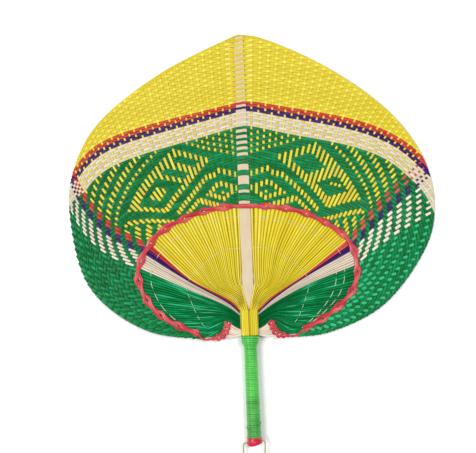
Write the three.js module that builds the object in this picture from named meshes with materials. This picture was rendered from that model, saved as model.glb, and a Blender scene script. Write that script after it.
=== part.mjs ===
// A woven bamboo hand fan, in millimetres, +Z up, lying on its back on a flat surface.
// The handle points to -Y and the tip of the blade to +Y. The blade is plaited from 66 strips.
// Each strip leaves the handle as a splint, passes the red ring, runs out to the rim as a warp,
// folds there, crosses the blade over the slat as a weft and comes back on the other side.
// The woven sheets stand for strips that pass over and under one another.
import * as THREE from "three";

// Blade sizes, measured from the centre line and upward from the end of the handle.
const TIP_UP = 401;
const FOOT_UP = 102;
const BLADE_RIGHT = 186.5;
const BLADE_LEFT = 171.3;
const RING_TOP_UP = 232.5;
const RING_FOOT_UP = 104.5;
const RING_RIGHT = 107.4;
const RING_LEFT = 106.9;

// The strips, counted from the slat outward.
const YELLOW_STRIPS = 28;
const RED_STRIPS = 2;
const PURPLE_STRIPS = 2;
const NATURAL_STRIPS = 6;
const GREEN_STRIPS = 28;
const ROW_SPACING = 2.35;

// Thicknesses and running gaps.
const SHEET_THICK = 1.2;
const WEFT_THICK = 0.8;
const SPLINT_THICK = 0.8;
const GATHERED_THICK = 4;
const PIECE_GAP = 0.3;
const ROW_GAP = 0.34;
const RING_GAP = 0.8;

// The slat down the middle.
const SLAT_WIDE = 11;
const SLAT_THICK = 1.6;
const SLAT_TAPER_LONG = 22.7;
const SLAT_POINT_WIDE = 0.8;
const SLAT_BELOW_TIP = 1.2;
const STEP_RUN = 3.5;

// Facets from the slat to the rim, the same in every band so that neighbours run side by side.
const WEFT_CELLS = 15;
const SHEET_ROWS = 7;
const CROWN_FIRST_ROW = 2;

// The handle, its collar and the neck above it.
const COLLAR_RADIUS = 8.8;
const COLLAR_TOP_UP = 107;
const COLLAR_FOOT_UP = 99.3;
const WAIST_RADIUS = 6.4;
const WAIST_UP = 94.5;
const MIDDLE_RADIUS = 6.7;
const MIDDLE_UP = 45;
const GRIP_RADIUS = 7;
const NECK_TOP_UP = 129.7;
const NECK_HALF_WIDE = 8.9;
const NECK_TOP_HALF_THICK = 3;
const NECK_FOOT_RADIUS = 8.4;
const NECK_SIDES = 20;
const LATHE_SIDES = 32;

// The winding round the handle, one flat cord.
const WINDING_LOOPS = 22;
const WINDING_WIDE = 3.2;
const WINDING_THICK = 1.2;
const WINDING_TURN_RADIUS = 2.4;
const WINDING_CLEARANCE = 0.4;
const STEPS_PER_LOOP = 24;
const STEPS_PER_BEND = 4;
const WINDING_SIDES = 6;

// The red cap on the end of the handle.
const CAP_RADIUS = 7.2;
const CAP_TOP_UP = 6.3;
const CAP_FOOT_UP = -1.5;
const CAP_FLOOR = 2;
const CAP_FLAT_RADIUS = 5.2;
const CAP_ROUND_HIGH = 2.4;
const CAP_ROUND_STEPS = 3;

// The red ring, its strands and the stitches.
const STRAND_WIDE = 2;
const STRAND_THICK = 0.7;
const STRAND_SWAY = 1.5;
const STRAND_RISE = 0.65;
const LENS_LONG = 20;
const STEPS_PER_LENS = 4;
const RING_ENDS_AT_STRIP = 63;
const BINDING_WIDE = 2.2;
const STITCH_THICK = 0.5;
const STITCH_ENDS_AT_STRIP = 62;
const STITCH_STEPS = 12;

// The hanging cord.
const CORD_THICK = 1.6;
const CORD_SIDES = 8;
const CORD_STEPS = 64;

// The right rim lies this much higher than the left one.
const RIGHT_RIM_LIFT = 1;

// Outlines as [across, up], each a share of the sizes above.
const RIM_RIGHT_SHAPE = [
  [0, 1],
  [0.098, 0.991],
  [0.475, 0.876],
  [0.8, 0.713],
  [0.957, 0.562],
  [1, 0.426],
  [0.962, 0.299],
  [0.712, 0.096],
  [0.41, 0.011],
  [0.246, 0.001],
];
const RIM_LEFT_SHAPE = [
  [0, 1],
  [0.046, 0.99],
  [0.47, 0.877],
  [0.85, 0.708],
  [0.99, 0.541],
  [1, 0.415],
  [0.908, 0.198],
  [0.614, 0.054],
  [0.27, 0.005],
];
const RING_RIGHT_SHAPE = [
  [0, 1],
  [0.249, 0.986],
  [0.581, 0.915],
  [0.855, 0.771],
  [0.964, 0.66],
  [1, 0.475],
  [0.947, 0.318],
  [0.721, 0.147],
  [0.42, 0.012],
];
const RING_LEFT_SHAPE = [
  [0, 1],
  [0.193, 0.998],
  [0.564, 0.921],
  [0.837, 0.782],
  [1, 0.53],
  [0.929, 0.312],
  [0.736, 0.148],
  [0.391, 0.014],
];

// How far each colour runs along the rim and along the ring, from the slat outward. The green
// strips take what is left.
const RIM_RIGHT_RUNS = { yellow: 225, red: 13, purple: 9, natural: 36 };
const RIM_LEFT_RUNS = { yellow: 215, red: 7.5, purple: 7.3, natural: 22 };
const RING_RIGHT_RUNS = { yellow: 109.4, red: 5.7, purple: 5.8, natural: 15.4 };
const RING_LEFT_RUNS = { yellow: 102.6, red: 5.6, purple: 5.9, natural: 15.3 };

// The warps bow toward the foot of the blade by this much, or toward its tip where it is less
// than nothing, and less over the outermost strips.
const RIGHT_WARP_BOW = -3.4;
const LEFT_WARP_BOW = 12;
const BOW_FADE_STRIPS = 20;

// The wefts sag toward the ring over the inner strips and rise over the outer ones.
const SAG_STRIPS = 25;
const WEFT_SAG = 0.19;
const WEFT_RISE = 0.15;

// The row of stitches at which the splints bend, as [across, up] in shares of the ring's size.
const STITCH_ARC_SHAPE = [
  [0.055, 0.68],
  [0.209, 0.668],
  [0.389, 0.574],
  [0.521, 0.469],
  [0.555, 0.391],
  [0.518, 0.277],
  [0.427, 0.113],
  [0.313, 0.023],
];
const STITCH_SHARES = [0, 0.481, 0.492, 0.504, 0.566, 1];

// The line on which the splints gather, as [across, up]: across from the side of the neck, and
// up in neck lengths from the foot of the neck. It starts beside the slat.
const GATHER_RIGHT_SHAPE = [
  [10.7, 1.52],
  [15.4, 1.388],
  [13.9, 0.485],
];
const GATHER_LEFT_SHAPE = [
  [7.8, 1.344],
  [11.8, 1.211],
  [10.3, 0.485],
];
const GATHER_SHARES = [0, 0.42, 0.46, 0.5, 0.58, 1];
const NECK_SIDE_SHARES = [0.987, 0.93, 0.872, 0.767, 0.546];

// Each comb of splints: how many splints show, and half the width of a slit in strips.
const COMB_FINGERS = { yellow: 9, red: 2, purple: 2, natural: 3, green: 9 };
const COMB_ROWS = 6;
const COMB_SLIT_ROWS = 3;
const COMB_HALF_SLIT = 0.09;

// The short splints and the binding beside the neck, measured as the gathering line is.
const LOWER_OUTER = { foot: [16, -0.053], top: [11.1, 0.432] };
const LOWER_INNER = { foot: 0.031, top: 0.511 };
const LOWER_FINGERS = 5;
const LOWER_SHARES = [0, 0.35, 0.7, 1];
const LOWER_SLIT_ROWS = 2;
const LOWER_HALF_SLIT = 0.02;
const BINDING_SHAPE = [
  [34.8, -0.123],
  [24.8, -0.079],
  [17.6, -0.018],
  [14.6, 0.123],
  [12.6, 0.317],
];

// Where the stitches lie on the splints, from the ring (0) to the neck (1).
const MIDDLE_STITCH_SHARE = 1 / 3;
const OUTER_STITCH_SHARE = 0.12;

const YELLOW_END = YELLOW_STRIPS;
const RED_END = YELLOW_END + RED_STRIPS;
const PURPLE_END = RED_END + PURPLE_STRIPS;
const NATURAL_END = PURPLE_END + NATURAL_STRIPS;
const GREEN_END = NATURAL_END + GREEN_STRIPS;
const COLOUR_ENDS = [0, YELLOW_END, RED_END, PURPLE_END, NATURAL_END, GREEN_END];

const SLAT_HALF = SLAT_WIDE / 2;
const SLAT_POINT_UP = NECK_TOP_UP + 2 * PIECE_GAP;
const SLAT_TAPER_UP = SLAT_POINT_UP + SLAT_TAPER_LONG;
const SHEET_CLEAR = SLAT_HALF + PIECE_GAP;
const TIP_HEIGHT = SLAT_THICK / 2;
const LEFT_RIM_HEIGHT = SHEET_THICK / 2;
const RIGHT_RIM_HEIGHT = LEFT_RIM_HEIGHT + RIGHT_RIM_LIFT;

// The surface colours.
const MATERIALS = {
  yellow: new THREE.MeshStandardMaterial({ color: 0xe8cf2c, roughness: 0.45 }),
  red: new THREE.MeshStandardMaterial({ color: 0xd7323c, roughness: 0.5 }),
  purple: new THREE.MeshStandardMaterial({ color: 0x462382, roughness: 0.5 }),
  natural: new THREE.MeshStandardMaterial({ color: 0xe8d7b9, roughness: 0.6 }),
  green: new THREE.MeshStandardMaterial({ color: 0x0f8746, roughness: 0.4 }),
  winding: new THREE.MeshStandardMaterial({ color: 0x50c346, roughness: 0.35 }),
  core: new THREE.MeshStandardMaterial({ color: 0x9a8a4a, roughness: 0.8 }),
  cap: new THREE.MeshStandardMaterial({ color: 0xd72d4b, roughness: 0.45 }),
  thread: new THREE.MeshStandardMaterial({ color: 0xeee8cf, roughness: 0.7 }),
  cord: new THREE.MeshStandardMaterial({ color: 0xbecd96, roughness: 0.7 }),
};

const fan = new THREE.Group();
const hangLoop = new THREE.Group();

function lerp(a, b, share) {
  return a + (b - a) * share;
}

// The value at x on a straight run between the listed points.
function between(x, xs, ys) {
  if (x <= xs[0]) return ys[0];
  for (let k = 1; k < xs.length; k++) {
    if (x <= xs[k]) return lerp(ys[k - 1], ys[k], (x - xs[k - 1]) / (xs[k] - xs[k - 1]));
  }
  return ys[ys.length - 1];
}

// A smooth flat line through points given as [across, up].
function flatCurve(points) {
  const flat = points.map(([across, up]) => new THREE.Vector3(across, up, 0));
  return new THREE.CatmullRomCurve3(flat, false, "centripetal");
}

function outline(shape, halfWide, top, foot) {
  return flatCurve(shape.map(([across, up]) => [across * halfWide, lerp(foot, top, up)]));
}

// The place beside the neck of a point that is given across from its side and up in neck lengths.
const besideNeck = ([across, up]) => [NECK_HALF_WIDE + across, lerp(COLLAR_TOP_UP, NECK_TOP_UP, up)];

// The lengths along a curve at which each colour ends.
function colourLengths(curve, runs) {
  const ends = [0];
  for (const run of Object.values(runs)) ends.push(ends[ends.length - 1] + run);
  return [...ends, curve.getLength()];
}

function side(half) {
  const rim = outline(half.rimShape, half.rimHalf, TIP_UP, FOOT_UP);
  const ring = outline(half.ringShape, half.ringHalf, RING_TOP_UP, RING_FOOT_UP);
  return {
    ...half,
    rim,
    ring,
    rimLengths: colourLengths(rim, half.rimRuns),
    ringLengths: colourLengths(ring, half.ringRuns),
    gather: flatCurve([[SHEET_CLEAR + PIECE_GAP, SLAT_TAPER_UP], ...half.gatherShape.map(besideNeck)]),
  };
}

const RIGHT = side({
  sign: 1,
  rimShape: RIM_RIGHT_SHAPE,
  rimHalf: BLADE_RIGHT,
  rimRuns: RIM_RIGHT_RUNS,
  ringShape: RING_RIGHT_SHAPE,
  ringHalf: RING_RIGHT,
  ringRuns: RING_RIGHT_RUNS,
  gatherShape: GATHER_RIGHT_SHAPE,
  bow: RIGHT_WARP_BOW,
  rimHeight: RIGHT_RIM_HEIGHT,
});
const LEFT = side({
  sign: -1,
  rimShape: RIM_LEFT_SHAPE,
  rimHalf: BLADE_LEFT,
  rimRuns: RIM_LEFT_RUNS,
  ringShape: RING_LEFT_SHAPE,
  ringHalf: RING_LEFT,
  ringRuns: RING_LEFT_RUNS,
  gatherShape: GATHER_LEFT_SHAPE,
  bow: LEFT_WARP_BOW,
  rimHeight: LEFT_RIM_HEIGHT,
});

const SIDES = [["left", LEFT], ["right", RIGHT]];

function pointAlong(curve, lengths, strip) {
  return curve.getPointAt(between(strip, COLOUR_ENDS, lengths) / lengths[lengths.length - 1]);
}

const rimPoint = (half, strip) => pointAlong(half.rim, half.rimLengths, strip);
const ringPoint = (half, strip) => pointAlong(half.ring, half.ringLengths, strip);

// The share of the way from the tip to the ring at which a weft crosses the slat.
function rowShare(row) {
  const upper = (NATURAL_END * ROW_SPACING) / (TIP_UP - RING_TOP_UP);
  return between(row, [0, NATURAL_END, GREEN_END], [0, upper, 1]);
}

// The power that bends a weft out of an even share of the warps that it crosses.
function rowBend(strip) {
  const wave = (share) => Math.sin(Math.PI * THREE.MathUtils.clamp(share, 0, 1));
  const outer = (strip - SAG_STRIPS) / (GREEN_END - SAG_STRIPS);
  return 1 + WEFT_SAG * wave(strip / SAG_STRIPS) - WEFT_RISE * wave(outer);
}

// A point on a warp, from the ring (0) to the rim (1).
function warpPoint(half, strip, share) {
  const start = ringPoint(half, strip);
  const end = rimPoint(half, strip);
  const run = end.clone().sub(start);
  const across = new THREE.Vector3(-run.y, run.x, 0).normalize();
  const bowed = Math.min(strip / YELLOW_END, 1) * Math.min((GREEN_END - strip) / BOW_FADE_STRIPS, 1);
  const bow = -half.bow * bowed * 4 * share * (1 - share);
  return start.addScaledVector(run, share).addScaledVector(across, bow);
}

// The place where a weft crosses a warp.
function crossing(half, strip, row) {
  const left = (1 - rowShare(row)) / Math.max(1 - rowShare(strip), 1e-6);
  return warpPoint(half, strip, Math.min(left, 1) ** rowBend(strip));
}

// The height of the middle of the blade above the surface it lies on: it falls from the neck to
// the tip, and from the slat to the widest point of each rim.
function bladeHeight(half, across, up) {
  const share = THREE.MathUtils.clamp((up - NECK_TOP_UP) / (TIP_UP - NECK_TOP_UP), 0, 1);
  const centre = lerp(COLLAR_RADIUS, TIP_HEIGHT, share);
  return lerp(centre, half.rimHeight, (across / half.rimHalf) ** 2);
}

// A point in the fan's own frame, raised above the middle of the blade.
function placed(half, flat, raise = 0) {
  return new THREE.Vector3(half.sign * flat.x, flat.y, bladeHeight(half, flat.x, flat.y) + raise);
}

function meshVolume(points, faces) {
  const sixth = ([a, b, c]) => points[a].dot(points[b].clone().cross(points[c])) / 6;
  return faces.reduce((sum, face) => sum + sixth(face), 0);
}

function solid(name, material, points, faces, group = fan) {
  const outward = meshVolume(points, faces) > 0;
  const geometry = new THREE.BufferGeometry().setFromPoints(points);
  geometry.setIndex(faces.flatMap(([a, b, c]) => (outward ? [a, b, c] : [a, c, b])));
  geometry.computeVertexNormals();
  const mesh = new THREE.Mesh(geometry, material);
  mesh.name = name;
  group.add(mesh);
  return mesh;
}

// A body through equal loops of points, closed at both ends.
function loft(name, material, sections, group = fan) {
  const sides = sections[0].length;
  const faces = [];
  for (let k = 0; k + 1 < sections.length; k++) {
    for (let s = 0; s < sides; s++) {
      const a = k * sides + s;
      const b = k * sides + ((s + 1) % sides);
      faces.push([a, b, b + sides], [a, b + sides, a + sides]);
    }
  }
  const last = (sections.length - 1) * sides;
  for (let s = 1; s + 1 < sides; s++) {
    faces.push([0, s + 1, s], [last, last + s, last + s + 1]);
  }
  return solid(name, material, sections.flat(), faces, group);
}

// A flat section round a point: across reaches to one side and up to the top.
function flatSection(p, across, up) {
  return [
    p.clone().add(across).add(up),
    p.clone().add(across).sub(up),
    p.clone().sub(across).sub(up),
    p.clone().sub(across).add(up),
  ];
}

// A flat strip that follows a line of points and stays level from side to side.
function ribbon(name, material, line, wide, thick) {
  const up = new THREE.Vector3(0, 0, thick / 2);
  const sections = line.map((p, k) => {
    const along = line[Math.min(k + 1, line.length - 1)].clone().sub(line[Math.max(k - 1, 0)]);
    const across = new THREE.Vector3(-along.y, along.x, 0).normalize().multiplyScalar(wide / 2);
    return flatSection(p, across, up);
  });
  return loft(name, material, sections);
}

// A thin body over a grid: middle(r, c) is its mid surface, thick(r, c) its thickness, and cells
// that kept(r, c) refuses are left open.
function sheet(name, material, rows, columns, middle, thick, kept = () => true) {
  const points = [];
  for (let r = 0; r < rows; r++) {
    for (let c = 0; c < columns; c++) {
      const p = middle(r, c);
      const up = new THREE.Vector3(0, 0, thick(r, c) / 2);
      points.push(p.clone().add(up), p.clone().sub(up));
    }
  }
  const there = (r, c) => r >= 0 && c >= 0 && r < rows - 1 && c < columns - 1 && kept(r, c);
  const at = (r, c) => 2 * (r * columns + c);
  const faces = [];
  const wall = (a, b) => faces.push([a, a + 1, b + 1], [a, b + 1, b]);
  for (let r = 0; r < rows - 1; r++) {
    for (let c = 0; c < columns - 1; c++) {
      if (!there(r, c)) continue;
      const [p, q, s, t] = [at(r, c), at(r, c + 1), at(r + 1, c + 1), at(r + 1, c)];
      faces.push([p, q, s], [p, s, t], [p + 1, s + 1, q + 1], [p + 1, t + 1, s + 1]);
      if (!there(r - 1, c)) wall(p, q);
      if (!there(r, c + 1)) wall(q, s);
      if (!there(r + 1, c)) wall(s, t);
      if (!there(r, c - 1)) wall(t, p);
    }
  }
  const used = new Map();
  const keep = (k) => used.get(k) ?? used.set(k, used.size).get(k);
  const packed = faces.map((face) => face.map(keep));
  return solid(name, material, [...used.keys()].map((k) => points[k]), packed);
}

// The strip at which a weft comes clear of the slat by this much.
function stripAt(half, row, across) {
  let low = 0;
  let high = row;
  for (let k = 0; k < 24; k++) {
    const middle = (low + high) / 2;
    if (crossing(half, middle, row).x < across) low = middle;
    else high = middle;
  }
  return high;
}

// A woven band between two wefts, from rim to rim, passing over (1) or under (-1) the slat.
function wovenBand(name, material, rows, thick, pass) {
  const lift = pass * (SLAT_THICK / 2 + PIECE_GAP + thick / 2);
  const columns = 2 * WEFT_CELLS + 1;
  const point = (r, c) => {
    const out = Math.abs(c - WEFT_CELLS);
    const half = c < WEFT_CELLS ? LEFT : RIGHT;
    const row = rows[r];
    if (out === 0) return placed(half, crossing(half, 0, row), lift);
    const edge = stripAt(half, row, SHEET_CLEAR);
    if (out === 1) return placed(half, crossing(half, edge, row), lift);
    const foot = stripAt(half, row, SHEET_CLEAR + STEP_RUN);
    const strip = lerp(foot, row, (out - 2) / (WEFT_CELLS - 2));
    return placed(half, crossing(half, strip, row));
  };
  return sheet(name, material, rows.length, columns, point, () => thick);
}

// The rows of a band that leaves half a gap free at each weft it borders.
function bandRows(first, last, cells) {
  const inset = ROW_GAP / ROW_SPACING / 2;
  return Array.from({ length: cells + 1 }, (_, k) => lerp(first + inset, last - inset, k / cells));
}

function slat() {
  const halfThick = new THREE.Vector3(0, 0, SLAT_THICK / 2);
  const topUp = TIP_UP - SLAT_BELOW_TIP;
  const ups = [SLAT_POINT_UP, SLAT_TAPER_UP, RING_TOP_UP, lerp(RING_TOP_UP, topUp, 0.5), topUp];
  const sections = ups.map((up) => {
    const halfWide = up === SLAT_POINT_UP ? SLAT_POINT_WIDE / 2 : SLAT_HALF;
    const middle = new THREE.Vector3(0, up, bladeHeight(RIGHT, 0, up));
    return flatSection(middle, new THREE.Vector3(halfWide, 0, 0), halfThick);
  });
  loft("spine_slat", MATERIALS.natural, sections);
}

function wovenBlade() {
  const crown = bandRows(CROWN_FIRST_ROW, YELLOW_END, SHEET_ROWS);
  wovenBand("yellow_crown_weave", MATERIALS.yellow, crown, SHEET_THICK, 1);
  const field = bandRows(NATURAL_END, GREEN_END - RING_GAP / ROW_SPACING, SHEET_ROWS);
  wovenBand("green_field_weave", MATERIALS.green, field, SHEET_THICK, -1);
  const colours = [
    ["red_weft", MATERIALS.red, YELLOW_END, RED_STRIPS],
    ["purple_weft", MATERIALS.purple, RED_END, PURPLE_STRIPS],
    ["natural_weft", MATERIALS.natural, PURPLE_END, NATURAL_STRIPS],
  ];
  for (const [name, material, first, count] of colours) {
    for (let k = 0; k < count; k++) {
      const rows = bandRows(first + k, first + k + 1, 1);
      wovenBand(`${name}_${k + 1}`, material, rows, WEFT_THICK, k % 2 ? 1 : -1);
    }
  }
}

// The first strip that lies clear beside the slat at the ring.
const FIRST_STRIP = stripAt(RIGHT, GREEN_END, SHEET_CLEAR);
const SPLINT_STOPS = [FIRST_STRIP, YELLOW_END, RED_END, PURPLE_END, NATURAL_END, GREEN_END];

// The splints bend at a row of stitches and again where they gather above the neck.
const STITCH_ARC = outline(STITCH_ARC_SHAPE, RING_RIGHT, RING_TOP_UP, RING_FOOT_UP);

// Where a splint meets the neck: the yellow ones on its top, the others on its side.
function neckPoint(strip) {
  if (strip > YELLOW_END) {
    const [across, up] = besideNeck([PIECE_GAP, between(strip, SPLINT_STOPS.slice(1), NECK_SIDE_SHARES)]);
    return new THREE.Vector3(across, up, 0);
  }
  const share = (strip - FIRST_STRIP) / (YELLOW_END - FIRST_STRIP);
  const inner = SLAT_POINT_WIDE / 2 + PIECE_GAP;
  return new THREE.Vector3(lerp(inner, NECK_HALF_WIDE - PIECE_GAP, share), NECK_TOP_UP + PIECE_GAP, 0);
}

// A point on a splint, from the ring (0) to the neck (1).
function splintPoint(half, strip, share) {
  const path = new THREE.CatmullRomCurve3([
    ringPoint(half, strip),
    STITCH_ARC.getPointAt(between(strip, SPLINT_STOPS, STITCH_SHARES)),
    half.gather.getPointAt(between(strip, SPLINT_STOPS, GATHER_SHARES)),
    neckPoint(strip),
  ], false, "centripetal");
  return path.getPoint(share);
}

// How many strips make half a gap here.
function gapInStrips(half, strip, share) {
  const step = 0.2;
  const apart = splintPoint(half, strip + step, share).distanceTo(splintPoint(half, strip - step, share));
  return (PIECE_GAP / 2) * ((2 * step) / apart);
}

const splintThickness = (share) => between(share, [0, 0.5, 0.75, 1],
  [SPLINT_THICK, SPLINT_THICK, 2 * SPLINT_THICK, GATHERED_THICK]);

// The splints of one colour on one side: slit into fingers at the ring and gathered at the neck.
function splints(colour, word, half, first, last) {
  const fingers = COMB_FINGERS[colour];
  const edges = [];
  for (let k = 0; k <= fingers; k++) {
    const strip = lerp(first, last, k / fingers);
    if (k > 0) edges.push({ strip, way: -1, end: k === fingers });
    if (k < fingers) edges.push({ strip, way: 1, end: k === 0 });
  }
  const point = (r, c) => {
    const { strip, way, end } = edges[c];
    const share = r / COMB_ROWS;
    const inset = end ? gapInStrips(half, strip, share) : COMB_HALF_SLIT;
    const at = THREE.MathUtils.clamp(strip + way * inset, FIRST_STRIP, GREEN_END);
    return placed(half, splintPoint(half, at, share));
  };
  const thick = (r) => splintThickness(r / COMB_ROWS);
  const kept = (r, c) => c % 2 === 0 || r >= COMB_SLIT_ROWS;
  sheet(`${colour}_splints_${word}`, MATERIALS[colour], COMB_ROWS + 1, edges.length, point, thick, kept);
}

function splintCombs() {
  for (const [word, half] of SIDES) {
    splints("yellow", word, half, FIRST_STRIP, YELLOW_END);
    splints("red", word, half, YELLOW_END, RED_END);
    splints("purple", word, half, RED_END, PURPLE_END);
    splints("natural", word, half, PURPLE_END, NATURAL_END);
    splints("green", word, half, NATURAL_END, GREEN_END);
  }
}

// The short natural splints beside the neck, level with the collar.
function lowerSplints() {
  const flat = (spot) => new THREE.Vector3(...besideNeck(spot), 0);
  const outerFoot = flat(LOWER_OUTER.foot);
  const outerTop = flat(LOWER_OUTER.top);
  const innerFoot = flat([PIECE_GAP, LOWER_INNER.foot]);
  const innerTop = flat([PIECE_GAP, LOWER_INNER.top]);
  const columns = 2 * LOWER_FINGERS;
  const kept = (r, c) => c % 2 === 0 || r >= LOWER_SLIT_ROWS;
  for (const [word, half] of SIDES) {
    const point = (r, c) => {
      const finger = Math.floor((c + 1) / 2) / LOWER_FINGERS;
      const atEnd = c === 0 || c === columns - 1;
      const slit = atEnd ? 0 : LOWER_HALF_SLIT * (c % 2 ? -1 : 1);
      const outer = outerFoot.clone().lerp(outerTop, finger + slit);
      const inner = innerFoot.clone().lerp(innerTop, finger + slit);
      return placed(half, outer.lerp(inner, LOWER_SHARES[r]));
    };
    const rows = LOWER_SHARES.length;
    sheet(`lower_splints_${word}`, MATERIALS.natural, rows, columns, point, () => SPLINT_THICK, kept);
  }
}

// Two flat strands twined round the ends of the woven field, crossing once in each lens.
function ringStrands() {
  const over = SLAT_THICK / 2 + PIECE_GAP + STRAND_RISE + STRAND_THICK / 2;
  const reach = [LEFT, RIGHT].map((half) => between(RING_ENDS_AT_STRIP, COLOUR_ENDS, half.ringLengths));
  const lenses = Math.round((reach[0] + reach[1]) / LENS_LONG);
  const steps = lenses * STEPS_PER_LENS;
  const flatAt = (run) => {
    const half = run < 0 ? LEFT : RIGHT;
    const share = Math.min(Math.abs(run) / half.ring.getLength(), 1);
    return placed(half, half.ring.getPointAt(share), over);
  };
  for (const [k, turn] of [0, Math.PI].entries()) {
    const line = [];
    for (let n = 0; n <= steps; n++) {
      const run = lerp(-reach[0], reach[1], n / steps);
      const along = flatAt(run + 1).sub(flatAt(run - 1));
      const across = new THREE.Vector3(-along.y, along.x, 0).normalize();
      const phase = (Math.PI * n) / STEPS_PER_LENS + turn;
      const p = flatAt(run).addScaledVector(across, STRAND_SWAY * Math.sin(phase));
      p.z += STRAND_RISE * Math.cos(phase);
      line.push(p);
    }
    ribbon(`ring_strand_${k + 1}`, MATERIALS.red, line, STRAND_WIDE, STRAND_THICK);
  }
}

// The red binding that closes the foot of the blade on each side of the neck.
function lowerBindings() {
  const raise = SHEET_THICK / 2 + PIECE_GAP + STRAND_THICK / 2;
  for (const [word, half] of SIDES) {
    const flat = BINDING_SHAPE.map((spot) => new THREE.Vector3(...besideNeck(spot), 0));
    const line = flat.map((point) => placed(half, point, raise));
    ribbon(`lower_binding_${word}`, MATERIALS.red, line, BINDING_WIDE, STRAND_THICK);
  }
}

// Thin stitches that hold the splints apart: one arc across the slat and one inside the ring.
function stitches() {
  const overSlat = SLAT_THICK / 2 + PIECE_GAP + STITCH_THICK / 2;
  const overSplint = SPLINT_THICK / 2 + PIECE_GAP + STITCH_THICK / 2;
  const arc = (half, share, raise) => Array.from({ length: STITCH_STEPS + 1 }, (_, k) => {
    const strip = lerp(FIRST_STRIP, STITCH_ENDS_AT_STRIP, k / STITCH_STEPS);
    return placed(half, splintPoint(half, strip, share), raise);
  });
  const left = arc(LEFT, MIDDLE_STITCH_SHARE, overSlat).reverse();
  const right = arc(RIGHT, MIDDLE_STITCH_SHARE, overSlat);
  ribbon("middle_stitch", MATERIALS.thread, [...left, ...right], STITCH_THICK, STITCH_THICK);
  for (const [word, half] of SIDES) {
    const line = arc(half, OUTER_STITCH_SHARE, overSplint);
    ribbon(`outer_stitch_${word}`, MATERIALS.thread, line, STITCH_THICK, STITCH_THICK);
  }
}

// The gathered splints between the blade and the collar, round at the collar and flatter above.
function neck() {
  const loops = [0, 1 / 3, 2 / 3, 1].map((share) => {
    const up = lerp(COLLAR_TOP_UP + PIECE_GAP, NECK_TOP_UP, share);
    const halfWide = share === 0 ? NECK_FOOT_RADIUS : NECK_HALF_WIDE;
    const halfThick = lerp(NECK_FOOT_RADIUS, NECK_TOP_HALF_THICK, share);
    const centre = bladeHeight(RIGHT, 0, up);
    return Array.from({ length: NECK_SIDES }, (_, s) => {
      const angle = (2 * Math.PI * s) / NECK_SIDES;
      return new THREE.Vector3(halfWide * Math.cos(angle), up, centre + halfThick * Math.sin(angle));
    });
  });
  loft("neck_bundle", MATERIALS.yellow, loops);
}

// The radius of the middle of the winding at each height on the handle.
function windingRadius(up) {
  const outer = between(up, [CAP_TOP_UP, MIDDLE_UP, WAIST_UP, COLLAR_FOOT_UP],
    [GRIP_RADIUS, MIDDLE_RADIUS, WAIST_RADIUS, COLLAR_RADIUS]);
  return outer - WINDING_THICK / 2;
}

const coreRadius = (up) => windingRadius(up) - WINDING_THICK / 2 - WINDING_CLEARANCE;
const CORE_FOOT_UP = CAP_FOOT_UP + CAP_FLOOR + PIECE_GAP;

function lathe(name, material, profile) {
  const points = profile.map(([radius, up]) => new THREE.Vector2(radius, up));
  const mesh = new THREE.Mesh(new THREE.LatheGeometry(points, LATHE_SIDES), material);
  mesh.name = name;
  mesh.position.z = COLLAR_RADIUS;
  fan.add(mesh);
}

function handleCore() {
  const shoulder = COLLAR_FOOT_UP + WINDING_WIDE / 2 + WINDING_CLEARANCE;
  const thin = coreRadius(WAIST_UP);
  lathe("handle_core", MATERIALS.core, [
    [0, CORE_FOOT_UP],
    [coreRadius(CAP_TOP_UP), CORE_FOOT_UP],
    [coreRadius(CAP_TOP_UP), CAP_TOP_UP],
    [coreRadius(MIDDLE_UP), MIDDLE_UP],
    [thin, WAIST_UP],
    [thin, shoulder],
    [coreRadius(COLLAR_FOOT_UP), shoulder + WINDING_CLEARANCE],
    [coreRadius(COLLAR_FOOT_UP), COLLAR_TOP_UP],
    [0, COLLAR_TOP_UP],
  ]);
}

function endCap() {
  const bore = coreRadius(CAP_TOP_UP) + PIECE_GAP;
  const rounded = Array.from({ length: CAP_ROUND_STEPS + 1 }, (_, k) => {
    const angle = ((Math.PI / 2) * k) / CAP_ROUND_STEPS;
    const out = lerp(CAP_FLAT_RADIUS, CAP_RADIUS, Math.sin(angle));
    return [out, CAP_FOOT_UP + CAP_ROUND_HIGH * (1 - Math.cos(angle))];
  });
  lathe("end_cap", MATERIALS.cap, [
    [0, CAP_FOOT_UP],
    ...rounded,
    [CAP_RADIUS, CAP_TOP_UP - PIECE_GAP],
    [bore, CAP_TOP_UP - PIECE_GAP],
    [bore, CAP_FOOT_UP + CAP_FLOOR],
    [0, CAP_FOOT_UP + CAP_FLOOR],
  ]);
}

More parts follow.
